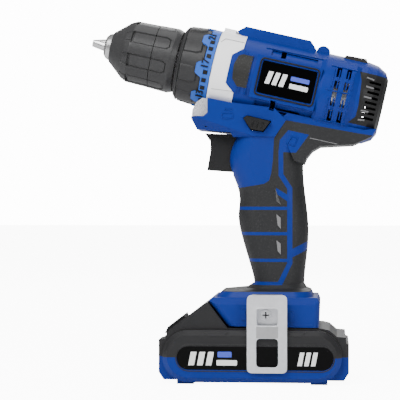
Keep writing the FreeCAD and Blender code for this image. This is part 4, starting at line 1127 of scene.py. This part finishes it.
@dataclass
class BeltClip:
    """The bent steel clip with two windows, its dished tray, and a black cross on the screw's head that paints the
    shadow in its cross recess.
    """

    outer: float = 42.4
    thickness: float = 1.2
    inner: float = 33.4
    left: float = -3.4
    right: float = 20.4
    bottom: float = 7.6
    top: float = 53.9
    upper: tuple[float, float, float, float] = (2.1, 35.4, 15.1, 46.1)
    lower: tuple[float, float, float, float] = (2.1, 11.1, 15.1, 28.1)
    leg: tuple[float, float, float, float] = (1.2, 35.2, 16.2, 53.9)
    screw: Point = (7.6, 41.6)
    screw_hole: float = 1.9
    head: float = 36.4
    slot_reach: float = 2.0
    slot_half: float = 0.4

    def build(self) -> None:
        """Make the clip, the darker strip between its windows and the black cross that paints the shadow in the
        screw's recess.
        """
        place = on_flank(Side.LEFT, 0.0)
        window = rounded(rectangle(*self.upper), 1.8)
        self.plate(place, window)
        tray = Shape().strip(window, 0.9, self.outer - 3.6, self.outer + 0.25, place, closed=True, crown=0.7)
        tray.piece("clip_tray", "clip_steel", "housing", UPRIGHT, 0.1)
        # a darker steel strip between the windows
        left, _, right, top = self.lower
        strip = rectangle(left, top + 0.2, right, self.upper[1] - 0.2)
        darker_band = Shape().plate(strip, self.outer - 0.1, self.outer + 0.12, place)
        darker_band.piece("clip_darker_strip", "clip_darker_steel", "housing", UPRIGHT)
        self.cross(place)
        LOG.info("belt clip")

    def plate(self, place: Place, window: Sequence[Point]) -> None:
        """The face with its windows, the bend at its top and the leg that is screwed on."""
        holes = (window, rounded(rectangle(*self.lower), 2.6))
        face = rounded(rectangle(self.left, self.bottom, self.right, self.top), 3.2)
        clip = Shape().plate(face, self.outer - self.thickness, self.outer, place, holes)
        bend = rectangle(self.left + 3.0, self.top - self.thickness, self.right - 3.0, self.top)
        clip.prism(bend, self.inner, self.outer - 0.2, place)
        hole = arc(self.screw, self.screw_hole, 0, 360, 24)[:-1]
        leg = rounded(rectangle(*self.leg), 1.0)
        clip.plate(leg, self.inner, self.inner + self.thickness, place, (hole,))
        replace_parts(clip.piece("belt_clip_plate", "clip_steel", "housing", UPRIGHT, 0.25), "belt_clip")

    def cross(self, place: Place) -> None:
        """A black cross standing a hair proud of the screw's head, painting the shadow in the screw's cross
        recess.
        """
        shape = Shape()
        x, z = self.screw
        for half_x, half_z, proud in ((self.slot_reach, self.slot_half, 0.06),
                                      (self.slot_half, self.slot_reach, 0.05)):
            bar = rectangle(x - half_x, z - half_z, x + half_x, z + half_z)
            shape.plate(bar, self.head - 0.2, self.head + proud, place)
        shape.piece("clip_screw_cross_shadow", "black_print_and_shade", "housing", UPRIGHT)


@dataclass
class Studio:
    """Floor, lights and camera."""

    view_centre: tuple[float, float, float] = (-0.0238, 0.0, 0.1102)
    view_angle: float = 4.7
    view_distance: float = 1.0
    view_width: float = 0.248
    sensor: float = 36.0
    surround_light: float = 0.34
    floor_glow: float = 10.0
    floor_reach: float = 6.0
    backdrop_light: float = 14.0
    aim: tuple[float, float, float] = (0.0, 0.0, 0.12)
    lamps: tuple[tuple[str, tuple[float, float, float], float, float], ...] = (
        ("key", (-0.5, -0.9, 1.0), 25.0, 0.8), ("fill", (0.9, -1.1, 0.6), 9.0, 0.6),
        ("top", (0.1, 0.1, 1.5), 7.0, 0.9), ("rim", (0.2, 1.1, 0.8), 7.0, 0.8))

    def build(self) -> None:
        """Make everything that isn't the drill."""
        self.floor()
        self.lights()
        self.camera()
        LOG.info("studio")

    def floor(self) -> None:
        """A plain pale floor that looks as bright as the backdrop."""
        graph = Graph("floor_paint")
        seen = graph.node("ShaderNodeLightPath")[0]
        graph.set(Base_Color=(0.9, 0.9, 0.91), Roughness=0.8, Specular_IOR_Level=0.0,
                  Emission_Color=graph.mix((0.0, 0.0, 0.0), (1.0, 1.0, 1.0), seen),
                  Emission_Strength=self.floor_glow)
        data = bpy.data.meshes.new("floor")
        reach = self.floor_reach
        corners = [(-reach, -reach, 0), (reach, -reach, 0), (reach, reach, 0), (-reach, reach, 0)]
        data.from_pydata(corners, [], [(0, 1, 2, 3)])
        floor = bpy.data.objects.new("floor", data)
        bpy.context.scene.collection.objects.link(floor)
        data.materials.append(graph.material)

    def lights(self) -> None:
        """An even surround, a brighter backdrop for the camera, and four area lights."""
        world = bpy.data.worlds.new("surround")
        world.use_nodes = True
        tree = world.node_tree
        seen = tree.nodes.new("ShaderNodeLightPath")
        strength = tree.nodes.new("ShaderNodeMapRange")
        strength.inputs["To Min"].default_value = self.surround_light
        strength.inputs["To Max"].default_value = self.backdrop_light
        back = tree.nodes["Background"]
        back.inputs["Color"].default_value = (1.0, 1.0, 1.0, 1.0)
        tree.links.new(seen.outputs["Is Camera Ray"], strength.inputs["Value"])
        tree.links.new(strength.outputs["Result"], back.inputs["Strength"])
        bpy.context.scene.world = world
        for name, place, energy, size in self.lamps:
            data = bpy.data.lights.new(name, "AREA")
            data.energy = energy
            data.size = size
            light = bpy.data.objects.new(name, data)
            light.location = place
            aim = Vector(self.aim) - Vector(place)
            light.rotation_euler = aim.to_track_quat("-Z", "Y").to_euler()
            bpy.context.scene.collection.objects.link(light)

    def camera(self) -> None:
        """A level camera square to the tool's left side, turned a little towards its rear."""
        angle = math.radians(self.view_angle)
        data = bpy.data.cameras.new("camera")
        data.lens = self.view_distance / self.view_width * self.sensor
        data.sensor_width = self.sensor
        camera = bpy.data.objects.new("camera", data)
        reach = Vector((math.sin(angle), -math.cos(angle), 0.0)) * self.view_distance
        camera.location = Vector(self.view_centre) + reach
        camera.rotation_euler = (math.pi / 2, 0.0, angle)
        bpy.context.scene.collection.objects.link(camera)
        bpy.context.scene.camera = camera


def main() -> None:
    """Build each sub-assembly in order."""
    logging.basicConfig(level=logging.INFO)
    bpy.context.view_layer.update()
    for assembly in (CadNodes(), Chuck(), TorqueCollar(), GearCollar(), MotorHousing(), RearCap(),
                     NamePlates(), Chin(), Grip(), TriggerSpring(), Foot(), Battery(), BeltClip(), Studio()):
        assembly.build()


if __name__ == "__main__":
    main()
